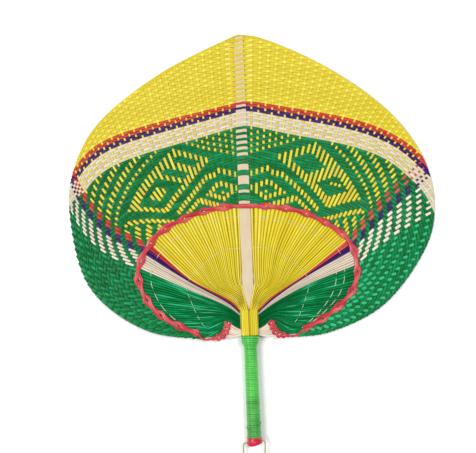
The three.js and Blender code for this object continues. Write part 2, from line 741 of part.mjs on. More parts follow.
// One unbroken flat cord: it leaves the cap straight up, turns round the handle and ends straight
// up against the neck. Its route is drawn on the unrolled surface as [round, up].
function windingRoute() {
  const foot = CAP_TOP_UP;
  const top = COLLAR_TOP_UP;
  const radius = MIDDLE_RADIUS - WINDING_THICK / 2;
  const straight = WINDING_WIDE;
  const turn = WINDING_TURN_RADIUS;
  const climb = top - foot - 2 * (straight + turn);
  const length = 2 * Math.PI * radius * WINDING_LOOPS;
  const slope = Math.atan2(climb, length);
  const bend = Array.from({ length: STEPS_PER_BEND },
    (_, k) => ((k + 1) / STEPS_PER_BEND) * (Math.PI / 2 - slope));
  const route = [[0, foot], [0, foot + straight]];
  for (const angle of bend) {
    route.push([turn * (1 - Math.cos(angle)), foot + straight + turn * Math.sin(angle)]);
  }
  const [startRound, startUp] = route[route.length - 1];
  const endUp = top - (startUp - foot);
  const steps = WINDING_LOOPS * STEPS_PER_LOOP;
  for (let n = 1; n <= steps; n++) {
    route.push([startRound + (length * n) / steps, lerp(startUp, endUp, n / steps)]);
  }
  const endRound = startRound + length + startRound;
  for (const angle of bend) {
    const left = Math.PI / 2 - slope - angle;
    route.push([endRound - turn * (1 - Math.cos(left)), top - straight - turn * Math.sin(left)]);
  }
  route.push([endRound, top]);
  return route.map(([round, up]) => {
    const angle = round / radius;
    const out = new THREE.Vector3(Math.cos(angle), 0, Math.sin(angle));
    const p = out.clone().multiplyScalar(windingRadius(up));
    return { out, p: p.add(new THREE.Vector3(0, up, COLLAR_RADIUS)) };
  });
}

// The least distance between points of the winding that lie more than half a loop apart.
function leastGap(sections) {
  let least = Infinity;
  const apart = STEPS_PER_LOOP / 2;
  sections.forEach((loop, k) => {
    for (let n = k + apart; n < Math.min(sections.length, k + 2 * STEPS_PER_LOOP); n++) {
      for (const p of loop) {
        for (const q of sections[n]) least = Math.min(least, p.distanceTo(q));
      }
    }
  });
  return least;
}

function winding() {
  const route = windingRoute();
  const sections = route.map(({ out, p }, k) => {
    const along = route[Math.min(k + 1, route.length - 1)].p.clone().sub(route[Math.max(k - 1, 0)].p);
    const across = along.cross(out).normalize();
    return Array.from({ length: WINDING_SIDES }, (_, s) => {
      const angle = (2 * Math.PI * s) / WINDING_SIDES;
      return p.clone()
        .addScaledVector(across, (WINDING_WIDE / 2) * Math.cos(angle))
        .addScaledVector(out, (WINDING_THICK / 2) * Math.sin(angle));
    });
  });
  loft("handle_winding", MATERIALS.winding, sections);
  console.log(`least gap between the turns of the winding: ${leastGap(sections).toFixed(2)} mm`);
}

// The loop of cord that the fan hangs by, out of both sides of the cap and down to the surface,
// as [across, up, height].
const CORD_EXIT = CAP_RADIUS + PIECE_GAP;
const CORD_ABOVE_SURFACE = 0.1;
const CORD_LOW = CORD_THICK / 2 + CORD_ABOVE_SURFACE;
const CORD_ROUTE = [
  [-CORD_EXIT, 1.4, COLLAR_RADIUS],
  [-9.2, 1.1, 8.7],
  [-10.7, -0.6, 8.4],
  [-11.1, -4, 7.8],
  [-11.2, -10, 6.4],
  [-12.6, -22, 3.3],
  [-14, -36, 1.3],
  [-14.2, -48, CORD_LOW],
  [-12.6, -58, CORD_LOW],
  [-8.2, -65.6, CORD_LOW],
  [-1.4, -68.8, CORD_LOW],
  [5.6, -66.8, CORD_LOW],
  [10.8, -60, CORD_LOW],
  [12.9, -50, CORD_LOW],
  [12.5, -38, 1.2],
  [11, -24, 3.1],
  [9.9, -11, 6.2],
  [10.3, -2, 8],
  [10.2, 1, 8.4],
  [9, 2.9, 8.7],
  [CORD_EXIT, 3.3, COLLAR_RADIUS],
];

function hangingCord() {
  const points = CORD_ROUTE.map((point) => new THREE.Vector3(...point));
  const path = new THREE.CatmullRomCurve3(points, false, "centripetal");
  const section = new THREE.Shape();
  for (let s = 0; s < CORD_SIDES; s++) {
    const angle = (2 * Math.PI * s) / CORD_SIDES;
    const corner = [(CORD_THICK / 2) * Math.cos(angle), (CORD_THICK / 2) * Math.sin(angle)];
    if (s === 0) section.moveTo(...corner);
    else section.lineTo(...corner);
  }
  const geometry = new THREE.ExtrudeGeometry(section, { steps: CORD_STEPS, extrudePath: path });
  const mesh = new THREE.Mesh(geometry, MATERIALS.cord);
  mesh.name = "hang_cord";
  hangLoop.add(mesh);
  console.log(`hanging cord: ${path.getLength().toFixed(1)} mm`);
}

slat();
wovenBlade();
splintCombs();
lowerSplints();
ringStrands();
lowerBindings();
stitches();
neck();
handleCore();
endCap();
winding();
hangingCord();

// The origin is on the surface that the fan lies on, under the middle of the fan without its cord.
const box = new THREE.Box3().setFromObject(fan);
const centre = box.getCenter(new THREE.Vector3());
const model = new THREE.Group();
model.add(fan, hangLoop);
model.position.set(-centre.x, -centre.y, -box.min.z);
console.log(`shift to the origin: ${[-centre.x, -centre.y, -box.min.z].map((x) => x.toFixed(3))}`);

export default model;
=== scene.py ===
"""A woven bamboo hand fan lying on its back: the strips, the handle and the hanging cord.

The blade is plaited from real strips. Strip and row numbers are the same as in the CAD source,
so every warp, weft and splint lies where its solid lies.
"""

import bpy
import numpy as np
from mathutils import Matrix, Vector


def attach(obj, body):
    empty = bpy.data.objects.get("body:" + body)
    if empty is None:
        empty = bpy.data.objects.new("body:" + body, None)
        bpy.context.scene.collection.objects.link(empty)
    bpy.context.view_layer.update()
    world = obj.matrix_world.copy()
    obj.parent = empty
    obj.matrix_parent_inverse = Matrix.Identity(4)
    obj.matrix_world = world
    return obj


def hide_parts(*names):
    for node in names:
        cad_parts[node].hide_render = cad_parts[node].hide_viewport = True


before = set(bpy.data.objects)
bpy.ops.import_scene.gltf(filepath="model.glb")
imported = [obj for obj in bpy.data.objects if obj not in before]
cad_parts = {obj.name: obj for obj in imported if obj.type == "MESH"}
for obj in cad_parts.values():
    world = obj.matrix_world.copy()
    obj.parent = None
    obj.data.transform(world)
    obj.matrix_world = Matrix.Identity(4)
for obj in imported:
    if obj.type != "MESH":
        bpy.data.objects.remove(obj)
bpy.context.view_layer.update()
rng = np.random.default_rng(11)

# The CAD origin, as the shift from the fan's own frame in millimetres.
SHIFT = np.array([-7.133, -199.15, 0.052])

# The blade's sizes and outlines in millimetres and shares, as in the CAD source.
TIP_UP, FOOT_UP = 401, 102
RING_TOP_UP, RING_FOOT_UP = 232.5, 104.5
RIM_RIGHT = [[0, 1], [0.098, 0.991], [0.475, 0.876], [0.8, 0.713], [0.957, 0.562],
             [1, 0.426], [0.962, 0.299], [0.712, 0.096], [0.41, 0.011], [0.246, 0.001]]
RIM_LEFT = [[0, 1], [0.046, 0.99], [0.47, 0.877], [0.85, 0.708], [0.99, 0.541],
            [1, 0.415], [0.908, 0.198], [0.614, 0.054], [0.27, 0.005]]
RING_RIGHT = [[0, 1], [0.249, 0.986], [0.581, 0.915], [0.855, 0.771], [0.964, 0.66],
              [1, 0.475], [0.947, 0.318], [0.721, 0.147], [0.42, 0.012]]
RING_LEFT = [[0, 1], [0.193, 0.998], [0.564, 0.921], [0.837, 0.782], [1, 0.53],
             [0.929, 0.312], [0.736, 0.148], [0.391, 0.014]]
STITCH_ARC = [[0.055, 0.68], [0.209, 0.668], [0.389, 0.574], [0.521, 0.469],
              [0.555, 0.391], [0.518, 0.277], [0.427, 0.113], [0.313, 0.023]]
GATHER_RIGHT = [[10.7, 1.52], [15.4, 1.388], [13.9, 0.485]]
GATHER_LEFT = [[7.8, 1.344], [11.8, 1.211], [10.3, 0.485]]

# The first row of each colour from yellow to green, and the count of rows.
RED_ROW, NATURAL_ROW, GREEN_ROW, ROWS = 28, 32, 38, 66
COLOUR_ENDS = [0, RED_ROW, 30, NATURAL_ROW, GREEN_ROW, ROWS]
ROW_SPACING = 2.35
SAG_STRIPS, WEFT_SAG, WEFT_RISE = 25, 0.19, 0.15
BOW_FADE_STRIPS = 20

# The slat, the neck and the handle.
SLAT_HALF, SLAT_HALF_THICK = 5.5, 0.8
NECK_HALF_WIDE, NECK_TOP_UP = 8.9, 129.7
COLLAR_RADIUS, COLLAR_TOP_UP, COLLAR_FOOT_UP = 8.8, 107, 99.3
SLAT_POINT_UP = NECK_TOP_UP + 0.6
SLAT_TAPER_UP = SLAT_POINT_UP + 22.7

# The last warp of each colour on a side, and the last of all, which is green.
YELLOW_WARPS, WARPS = 30, 68
WARP_ENDS = [YELLOW_WARPS, 32, 34, 40]

# A strip's thickness, its rise or dip at a crossing, the share of that beside a turn, its least height.
STRIP_THICK, CROSS_RISE, TURN_SHARE, LEAST_UP = 0.3, 0.48, 0.72, 0.25


def between(x, xs, ys):
    return np.interp(x, xs, ys)


def lerp(a, b, share):
    return a + (b - a) * share


def ramp(x, start, end):
    return np.clip((x - start) / (end - start), 0, 1)


def ease(x):
    """A smooth step from 0 to 1."""
    return x * x * (3 - 2 * x)


def unit(vectors):
    return vectors / np.linalg.norm(vectors, axis=-1, keepdims=True)


def sums(runs):
    return np.concatenate([[0], np.cumsum(runs)])


def lengths_along(line):
    return sums(np.linalg.norm(np.diff(line, axis=0), axis=1))


def circle(count):
    return 2 * np.pi * np.arange(count) / count


def ovals(line, side, up, sides):
    """Loops round each point of a line, with side and up as their half axes."""
    turn = circle(sides)[:, None]
    return line[:, None] + np.cos(turn) * side[:, None] + np.sin(turn) * up[:, None]


def metres(points):
    """Points in the CAD's millimetres, as metres in the frame of the part."""
    return (np.asarray(points) + SHIFT) / 1000


def sideways(line):
    """Unit directions to the left of a flat line."""
    along = np.gradient(line, axis=0)
    return unit(np.stack([-along[:, 1], along[:, 0]], -1))


class Curve:
    """A centripetal Catmull-Rom line through points, measured by its length."""

    def __init__(self, points):
        p = np.asarray(points, float)
        self.points = np.vstack([2 * p[0] - p[1], p, 2 * p[-1] - p[-2]])
        self.spans = len(p) - 1
        self.steps_of = None
        self.steps = np.linspace(0, 1, 201)
        self.lengths = lengths_along(self.at(self.steps))
        self.length = self.lengths[-1]

    def at(self, t):
        """The point at the share t of the spans."""
        t = np.asarray(t, float)
        if self.steps_of is not None:
            t = np.interp(t, [0, 1 / 3, 2 / 3, 1], self.steps_of)
        p = t * self.spans
        k = np.clip(np.floor(p).astype(int), 0, self.spans - 1)
        w = (p - k)[..., None]
        p0, p1, p2, p3 = (self.points[k + n] for n in range(4))
        d0, d1, d2 = (np.maximum(np.linalg.norm(b - a, axis=-1, keepdims=True), 1e-8) ** 0.5
                      for a, b in ((p0, p1), (p1, p2), (p2, p3)))
        t1 = ((p1 - p0) / d0 - (p2 - p0) / (d0 + d1) + (p2 - p1) / d1) * d1
        t2 = ((p2 - p1) / d1 - (p3 - p1) / (d1 + d2) + (p3 - p2) / d2) * d1
        square = -3 * p1 + 3 * p2 - 2 * t1 - t2
        cube = 2 * p1 - 2 * p2 + t1 + t2
        return p1 + t1 * w + square * w ** 2 + cube * w ** 3

    def along(self, length):
        """The point at a length from the start."""
        return self.at(np.interp(length, self.lengths, self.steps))


def outline(shape, half_wide, top, foot):
    return Curve([(across * half_wide, lerp(foot, top, up)) for across, up in shape])


def beside_neck(spots):
    """Places from their distance beside the neck and their share of its height."""
    across, up = np.moveaxis(np.asarray(spots), -1, 0)
    return np.stack([NECK_HALF_WIDE + across, lerp(COLLAR_TOP_UP, NECK_TOP_UP, up)], -1)


class Half:
    """One side of the blade, with across counted away from the slat."""

    def __init__(self, sign, rim, rim_half, rim_runs, ring, ring_half, ring_runs, gather, bow, rise, spots):
        self.sign = sign
        self.rim = outline(rim, rim_half, TIP_UP, FOOT_UP)
        self.rim_half = rim_half
        self.ring = outline(ring, ring_half, RING_TOP_UP, RING_FOOT_UP)
        self.rim_lengths = [*sums(rim_runs), self.rim.length]
        self.ring_lengths = [*sums(ring_runs), self.ring.length]
        self.gather = Curve([[SLAT_HALF + 0.6, SLAT_TAPER_UP], *beside_neck(gather)])
        self.bow = bow
        self.rim_height = rise
        self.spots = spots
        self.bend = None

    def strip(self, n):
        """The strip number, in the CAD's count, of warp n."""
        u = (between(n, *self.spots) - 0.5) / YELLOW_WARPS
        yellow = 0.9 + (RED_ROW - 0.9) * (1.25 * u - 0.25 * u * u)
        beyond = n - (YELLOW_WARPS + 0.5 - RED_ROW)
        return np.where(n <= YELLOW_WARPS + 0.5, np.minimum(yellow, RED_ROW), beyond)

    def ring_at(self, strip):
        return self.ring.along(between(strip, COLOUR_ENDS, self.ring_lengths))

    def warp(self, strip, share):
        """A point on a warp, from the ring (0) to the rim (1)."""
        start = self.ring_at(strip)
        run = self.rim.along(between(strip, COLOUR_ENDS, self.rim_lengths)) - start
        across = np.stack([-run[..., 1], run[..., 0]], -1)
        across /= np.maximum(np.linalg.norm(across, axis=-1, keepdims=True), 1e-9)
        bowed = np.minimum(strip / RED_ROW, 1) * np.minimum((ROWS - strip) / BOW_FADE_STRIPS, 1)
        bow = -self.bow * bowed * 4 * share * (1 - share)
        return start + run * share[..., None] + across * bow[..., None]

    def crossing(self, strip, row):
        """The place where a weft crosses a warp."""
        strip, row = np.broadcast_arrays(strip, row)
        left = (1 - row_share(row)) / np.maximum(1 - row_share(strip), 1e-6)
        return self.warp(strip, np.clip(left, 0, 1) ** row_bend(strip))

    def height(self, flat):
        """The height of the blade above the surface it lies on."""
        share = ramp(flat[..., 1], NECK_TOP_UP, TIP_UP)
        centre = lerp(COLLAR_RADIUS, SLAT_HALF_THICK, share)
        return lerp(centre, self.rim_height, (flat[..., 0] / self.rim_half) ** 2)

    def place(self, flat, rise):
        """A point on the blade, in metres in the frame of the part."""
        z = np.maximum(self.height(flat) + rise, LEAST_UP)
        return metres(np.stack([self.sign * flat[..., 0], flat[..., 1], z], -1))

    def band(self, line, half_wide, rise):
        """The two edges of a strip along a flat line, in metres."""
        across = sideways(line) * half_wide
        return [self.place(line + way * across, rise) for way in (1, -1)]


def row_share(row):
    upper = GREEN_ROW * ROW_SPACING / (TIP_UP - RING_TOP_UP)
    return between(row, [0, GREEN_ROW, ROWS], [0, upper, 1])


def row_bend(strip):
    inner = np.sin(np.pi * ramp(strip, 0, SAG_STRIPS))
    outer = np.sin(np.pi * ramp(strip, SAG_STRIPS, ROWS))
    return 1 + WEFT_SAG * inner - WEFT_RISE * outer


RIGHT_RING_HALF = 107.4
RIGHT = Half(sign=1, rim=RIM_RIGHT, rim_half=186.5, rim_runs=[225, 13, 9, 36],
             ring=RING_RIGHT, ring_half=RIGHT_RING_HALF, ring_runs=[109.4, 5.7, 5.8, 15.4],
             gather=GATHER_RIGHT, bow=-3.4, rise=1.6,
             spots=([1, 4, 10, 24, 30], [1.25, 4.35, 10.5, 24.1, 30.2]))
LEFT = Half(sign=-1, rim=RIM_LEFT, rim_half=171.3, rim_runs=[215, 7.5, 7.3, 22],
            ring=RING_LEFT, ring_half=106.9, ring_runs=[102.6, 5.6, 5.9, 15.3],
            gather=GATHER_LEFT, bow=12, rise=0.6,
            spots=([1, 5, 12, 25, 30], [1.25, 5.2, 11.1, 24.1, 30.2]))
SIDES = (("left", LEFT), ("right", RIGHT))


def slat_height(up):
    return RIGHT.height(np.stack([0 * up, up], -1))


STITCHES = outline(STITCH_ARC, RIGHT_RING_HALF, RING_TOP_UP, RING_FOOT_UP)
FIRST_STRIPS = np.linspace(0, 4, 200)
FIRST_STRIP = float(between(SLAT_HALF + 0.3, RIGHT.ring_at(FIRST_STRIPS)[:, 0], FIRST_STRIPS))
SPLINT_STOPS = [FIRST_STRIP] + COLOUR_ENDS[1:]


# Camera and cord

PHOTO_CENTRE = np.array([-7.29, 212.7])
PHOTO_WIDE, PHOTO_PLANE_UP = 466.5, 4
CAMERA_ROLL = 2.41
LENS, SENSOR = 100, 36


def add(name, data):
    """Puts a new object into the scene."""
    made = bpy.data.objects.new(name, data)
    bpy.context.scene.collection.objects.link(made)
    return made


def make_camera():
    data = bpy.data.cameras.new("camera")
    data.lens = LENS
    data.sensor_width = SENSOR
    data.clip_end = 20
    camera = add("camera", data)
    centre = (PHOTO_CENTRE + SHIFT[:2]) / 1000
    camera.location = (*centre, PHOTO_WIDE / 1000 * LENS / SENSOR + PHOTO_PLANE_UP / 1000)
    camera.rotation_euler.z = -np.radians(CAMERA_ROLL)
    bpy.context.scene.camera = camera


# The loop's middle line, out of the cap on its left and back into it on its right.
CORD_ROUTE = [
    [-7.5, 1.4, 8.8], [-9.2, 1.1, 8.7], [-10.7, -0.6, 8.4], [-11.1, -4, 7.8], [-11.2, -10, 6.4],
    [-12.6, -22, 3.3], [-14, -36, 1.3], [-14.2, -48, 0.9], [-12.6, -58, 0.9], [-8.2, -65.6, 0.9],
    [-1.4, -68.8, 0.9], [5.6, -66.8, 0.9], [10.8, -60, 0.9], [12.9, -50, 0.9], [12.5, -38, 1.2],
    [11, -24, 3.1], [9.9, -11, 6.2], [10.3, -2, 8], [10.2, 1, 8.4], [9, 2.9, 8.7], [7.5, 3.3, 8.8],
]


def hanging_cord():
    route = metres(CORD_ROUTE)
    data = bpy.data.curves.new("hanging_cord", "CURVE")
    data.dimensions = "3D"
    data.bevel_depth = 0.0008
    data.bevel_resolution = 4
    data.resolution_u = 8
    spline = data.splines.new("BEZIER")
    spline.bezier_points.add(len(route) - 1)
    for point, co in zip(spline.bezier_points, route):
        point.co = co
        point.handle_left_type = point.handle_right_type = "AUTO"
    cord = add("hanging_cord", data)
    cord.data.materials.append(twine("cord_olive", (0.47, 0.55, 0.28), turns=900))
    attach(cord, "hang_loop")
    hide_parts("hang_cord")


# Materials

class Shader:
    """A node material built around one Principled shader."""

    def __init__(self, name):
        self.material = bpy.data.materials.new(name)
        self.material.use_nodes = True
        self.tree = self.material.node_tree
        self.bsdf = self.tree.nodes["Principled BSDF"]

    def node(self, kind, inputs=None, **settings):
        made = self.tree.nodes.new("ShaderNode" + kind)
        for key, value in settings.items():
            setattr(made, key, value)
        for key, value in (inputs or {}).items():
            self.put(made.inputs[key], value)
        return made

    def put(self, socket, value):
        if isinstance(value, bpy.types.NodeSocket):
            self.tree.links.new(value, socket)
        else:
            socket.default_value = value

    def share(self, name):
        """A number that each point of a mesh holds."""
        return self.node("Attribute", attribute_name=name).outputs["Fac"]

    def uv(self):
        return self.node("UVMap", uv_map="UVMap").outputs["UV"]

    def space(self):
        return self.node("TexCoord").outputs["Object"]

    def noise(self, vector, scale, detail):
        given = {"Vector": vector, "Scale": scale, "Detail": detail, "Roughness": 0.55}
        return self.node("TexNoise", given).outputs["Fac"]

    def streaks(self, vector, scales, detail):
        """Noise with its own scale along each axis."""
        made = self.node("Mapping", {"Vector": vector, "Scale": scales})
        return self.noise(made.outputs["Vector"], 1.0, detail)

    def spread(self, value, low, high, to_low, to_high):
        given = {"Value": value, "From Min": low, "From Max": high, "To Min": to_low, "To Max": to_high}
        return self.node("MapRange", given).outputs["Result"]

    def blend(self, value, low, high, most, first, second):
        """One colour where a value is low, another where it is high."""
        factor = self.spread(value, low, high, 0, most)
        made = self.node("Mix", data_type="RGBA")
        for place, given in ((0, factor), (6, first), (7, second)):
            self.put(made.inputs[place], (*given, 1) if isinstance(given, (tuple, list)) else given)
        return made.outputs[2]

    def bump(self, height, distance, strength):
        made = self.node("Bump", {"Height": height, "Distance": distance, "Strength": strength})
        self.put(self.bsdf.inputs["Normal"], made.outputs["Normal"])

    def finish(self, colour, roughness, **values):
        for key, value in {"Base Color": colour, "Roughness": roughness, **values}.items():
            self.put(self.bsdf.inputs[key], value)
        return self.material


def bamboo(name, base, dark, light, rough=(0.42, 0.6), coat=0.15, fleck=None, tint=1.0, pale=0.6,
           side=(0.36, 0.28, 0.25), shine=0.22, highlight_saturation=0.75, glint=None):
    """Split and dyed bamboo: long fibres, a tone for each strip, slow changes along it and painted shade
    along its edges. The tone also carries painted highlights, glints and shade.
    """
    s = Shader(f"bamboo_{name}")
    uv, tone, edge = s.uv(), s.share("tone"), s.share("edge")
    fibre = s.streaks(uv, (2600, 45, 1), 4)
    cloud = s.streaks(uv, (120, 60, 1), 2)
    body = s.blend(fibre, 0.3, 0.7, 1, dark, base)
    body = s.blend(cloud, 0.42, 0.75, pale, body, light)
    if fleck:
        spot = s.streaks(uv, (260, 150, 1), 1)
        body = s.blend(spot, 0.68, 0.76, 0.4, body, fleck)
    # The tone sets each strip's brightness: it differs at random, and it also carries painted highlights and
    # shade. Where it is high the colour turns paler, a painted highlight.
    toned = s.node("HueSaturation", {
        "Color": body,
        "Value": s.spread(tone, -2, 2, 1 - 0.2 * tint, 1 + 0.2 * tint),
        "Saturation": s.spread(tone, 0.3, 2, 1, highlight_saturation),
        "Hue": s.spread(tone, -1, 1, 0.497, 0.503),
    }).outputs["Color"]
    # Painted glint: where the tone is highest the colour mixes toward the glint colour.
    if glint:
        toned = s.blend(tone, 1.1, 2, 0.6, toned, glint)
    # Painted shade: the edges of each strip, and on a splint its skirts down into the gaps, are darkened
    # toward side, a share of the base colour.
    worn = s.blend(edge, 0, 1, 0.85, toned, [c * share for c, share in zip(base, side)])
    s.bump(fibre, 0.00006, 0.6)
    return s.finish(worn, s.spread(cloud, 0.3, 0.7, *rough),
                    **{"Coat Weight": coat, "Coat Roughness": 0.2, "Specular IOR Level": shine})


def twine(name, base, turns, dark=0.55):
    """A twisted thread, its plies drawn as slanted waves along the curve."""
    s = Shader(name)
    space = s.space()
    ply = s.node("TexWave", {"Vector": space, "Scale": turns, "Distortion": 1.2, "Detail": 2.0},
                 wave_type="BANDS", bands_direction="DIAGONAL").outputs["Fac"]
    fuzz = s.noise(space, 2500.0, 3)
    colour = s.blend(ply, 0, 1, 1, [c * dark for c in base], base)
    colour = s.blend(fuzz, 0.5, 0.8, 0.4, colour, [min(c * 1.25, 1) for c in base])
    s.bump(ply, 0.00008, 0.7)
    return s.finish(colour, s.spread(fuzz, 0.3, 0.7, 0.6, 0.8), **{"Sheen Weight": 0.2})


def plastic_cord():
    """The glossy green cord of the handle, a little paler where it is pulled tight."""
    s = Shader("cord_green")
    uv, space, tone = s.uv(), s.space(), s.share("tone")
    lines = s.streaks(uv, (2200, 90, 1), 3)
    patch = s.noise(space, 55.0, 2)
    colour = s.blend(patch, 0.35, 0.65, 1, (0.045, 0.50, 0.05), (0.10, 0.62, 0.07))
    colour = s.blend(lines, 0.55, 0.8, 0.5, colour, (0.22, 0.72, 0.16))
    colour = s.node("HueSaturation", {"Color": colour, "Value": s.spread(tone, -1, 1, 0.58, 1.12),
                                      "Saturation": s.spread(tone, -1, 1, 0.96, 1.0)}).outputs["Color"]
    s.bump(lines, 0.00005, 0.6)
    return s.finish(colour, s.spread(patch, 0.3, 0.7, 0.24, 0.36),
                    **{"Coat Weight": 0.35, "Coat Roughness": 0.12})


def wrapped_cap():
    """The glossy red wrapping of the end of the handle."""
    s = Shader("wrap_red")
    space = s.space()
    folds = s.streaks(space, (260, 900, 260), 3)
    grain = s.noise(space, 1800.0, 3)
    colour = s.blend(folds, 0.35, 0.65, 1, (0.44, 0.004, 0.03), (0.66, 0.008, 0.045))
    colour = s.blend(grain, 0.6, 0.8, 0.5, colour, (0.78, 0.08, 0.16))
    s.bump(folds, 0.0004, 0.7)
    return s.finish(colour, s.spread(grain, 0.3, 0.7, 0.28, 0.42),
                    **{"Coat Weight": 0.15, "Coat Roughness": 0.15})


def make_materials():
    # In each look, side gives the darker colour of the painted shade along the edges, as shares of the base.
    return {
        "slat": bamboo("slat", (0.70, 0.57, 0.38), (0.62, 0.48, 0.31), (0.75, 0.63, 0.45),
                       rough=(0.5, 0.65), coat=0.05, tint=0.0),
        "ring": bamboo("ring", (0.61, 0.020, 0.034), (0.41, 0.008, 0.016), (0.80, 0.095, 0.115),
                       rough=(0.35, 0.5), coat=0.25),
        "thread": twine("thread_pale", (0.86, 0.84, 0.66), turns=1500.0, dark=0.8),
        "winding": plastic_cord(),
        "cap": wrapped_cap(),
        "core": bamboo("ends", (0.45, 0.34, 0.12), (0.30, 0.21, 0.07), (0.60, 0.48, 0.22),
                       rough=(0.6, 0.8), coat=0.0),
        "yellow": bamboo("yellow", (0.79, 0.655, 0.019), (0.72, 0.555, 0.010), (0.85, 0.765, 0.055),
                         fleck=(0.76, 0.48, 0.03)),
        "red": bamboo("red", (0.63, 0.026, 0.014), (0.47, 0.014, 0.008), (0.78, 0.09, 0.045)),
        "purple": bamboo("purple", (0.045, 0.006, 0.14), (0.027, 0.004, 0.085), (0.088, 0.022, 0.22),
                         coat=0.08, shine=0.12),
        "natural": bamboo("natural", (0.70, 0.61, 0.43), (0.60, 0.49, 0.31), (0.80, 0.74, 0.58),
                          coat=0.12, fleck=(0.62, 0.56, 0.28), side=(0.5, 0.42, 0.36)),
        "green": bamboo("green", (0.002, 0.23, 0.052), (0.001, 0.135, 0.031), (0.006, 0.38, 0.145),
                        rough=(0.36, 0.5), coat=0.1, pale=0.75, tint=2.0, shine=0.05, highlight_saturation=1.0,
                        glint=(0.06, 0.56, 0.28)),
        "bare": bamboo("bare", (0.78, 0.70, 0.57), (0.66, 0.55, 0.40), (0.86, 0.81, 0.72),
                       coat=0.12, side=(0.42, 0.3, 0.24)),
    }


# Meshes

# Texture places across a strip's section, and which of its corners are at its edges and take painted shade.
STRIP_ACROSS = [0, 0.0005, 0.0016, 0.0027, 0.0032, 0.0034, -0.0002]
STRIP_EDGES = [1, 0, 0, 0, 1, 1, 1]


class Pile:
    """Closed lofts of one material, gathered into one piece."""

    def __init__(self):
        self.points, self.faces, self.uvs, self.tones, self.edges = [], [], [], [], []
        self.count = 0

    def loft(self, loops, across, tone=0.0, edge=0.0):
        """Adds a body through equal loops of points in metres, shape (stations, sides, 3)."""
        stations, sides, _ = loops.shape
        flat = loops.reshape(-1, 3)
        k, s = np.meshgrid(np.arange(stations - 1), np.arange(sides), indexing="ij")
        a, b = (k * sides + s).ravel(), (k * sides + (s + 1) % sides).ravel()
        quads = np.stack([a, b, b + sides, a + sides], -1)
        p = flat - flat.mean(0)
        volume = sum((p[quads[:, 0]] * np.cross(p[quads[:, m]], p[quads[:, m + 1]])).sum() for m in (1, 2))
        caps = [np.arange(sides)[::-1], (stations - 1) * sides + np.arange(sides)]
        if volume < 0:
            quads = quads[:, ::-1]
            caps = [cap[::-1] for cap in caps]
        across, run = np.broadcast_arrays(across, lengths_along(loops.mean(1))[:, None])
        start = rng.uniform(0, 3, 2)
        self.uvs.append(np.stack([across + start[0], run + start[1]], -1).reshape(-1, 2))
        self.points.append(flat)
        self.faces += (quads + self.count).tolist() + [(cap + self.count).tolist() for cap in caps]
        self.tones.append(np.repeat(np.broadcast_to(tone, stations), sides))
        # The edge shares set how much painted shade each point takes.
        self.edges.append(np.broadcast_to(edge, (stations, sides)).ravel())
        self.count += len(flat)

    def strip(self, left, right, thick=STRIP_THICK, crown=0.25, tone=0.0, worn=1.0):
        """Adds a flat strip between two edge lines in metres, a little crowned along its middle."""
        up = np.array([0, 0, thick / 2000])
        span = right - left
        shoulder = (1 + 0.4 * crown) * up
        # The strip's edges take painted shade, as much as the given share.
        self.loft(np.stack([left + 0.3 * up, left + 0.15 * span + shoulder,
                            left + 0.5 * span + (1 + crown) * up, right - 0.15 * span + shoulder,
                            right + 0.3 * up, right - up, left - up], 1),
                  STRIP_ACROSS, tone, np.multiply.outer(np.broadcast_to(worn, len(left)), STRIP_EDGES))

    def tube(self, line, radius, sides=6, tone=0.0):
        """Adds a round thread along a line in metres."""
        along = np.gradient(line, axis=0)
        side = unit(np.cross(along, [0, 0, 1]))
        up = unit(np.cross(side, along))
        radius = np.broadcast_to(radius, len(line))[:, None]
        self.loft(ovals(line, radius * side, radius * up, sides), circle(sides) * 0.0003, tone)

    def build(self, name, look, slot, nodes=(), sharp=40):
        """Makes the piece, hangs it on the fan's body and hides the CAD nodes, if any, that it stands for."""
        mesh = bpy.data.meshes.new(name)
        mesh.from_pydata(np.vstack(self.points).tolist(), [], self.faces, shade_flat=False)
        corners = np.zeros(len(mesh.loops), int)
        mesh.loops.foreach_get("vertex_index", corners)
        layer = mesh.uv_layers.new(name="UVMap")
        layer.data.foreach_set("uv", np.vstack(self.uvs)[corners].astype(np.float32).ravel())
        for share, values in (("tone", self.tones), ("edge", self.edges)):
            layer = mesh.attributes.new(share, "FLOAT", "POINT")
            layer.data.foreach_set("value", np.concatenate(values).astype(np.float32))
        mesh.set_sharp_from_angle(angle=np.radians(sharp))
        mesh.materials.append(MATERIALS[look])
        mesh.update()
        piece = add(name, mesh)
        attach(piece, "fan")
        if nodes:
            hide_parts(*nodes)


# The weave

# How many green wefts in a row pass over the slat, then under it, and so on.
SLAT_RUNS = [1] * 10 + [3, 2, 2, 3, 2, 1, 3, 2]
SLAT_OVER = [k % 2 == 0 for k, run in enumerate(SLAT_RUNS) for _ in range(run)]


def over_slat(row):
    return row % 2 == 0 if row < GREEN_ROW else SLAT_OVER[row - GREEN_ROW]


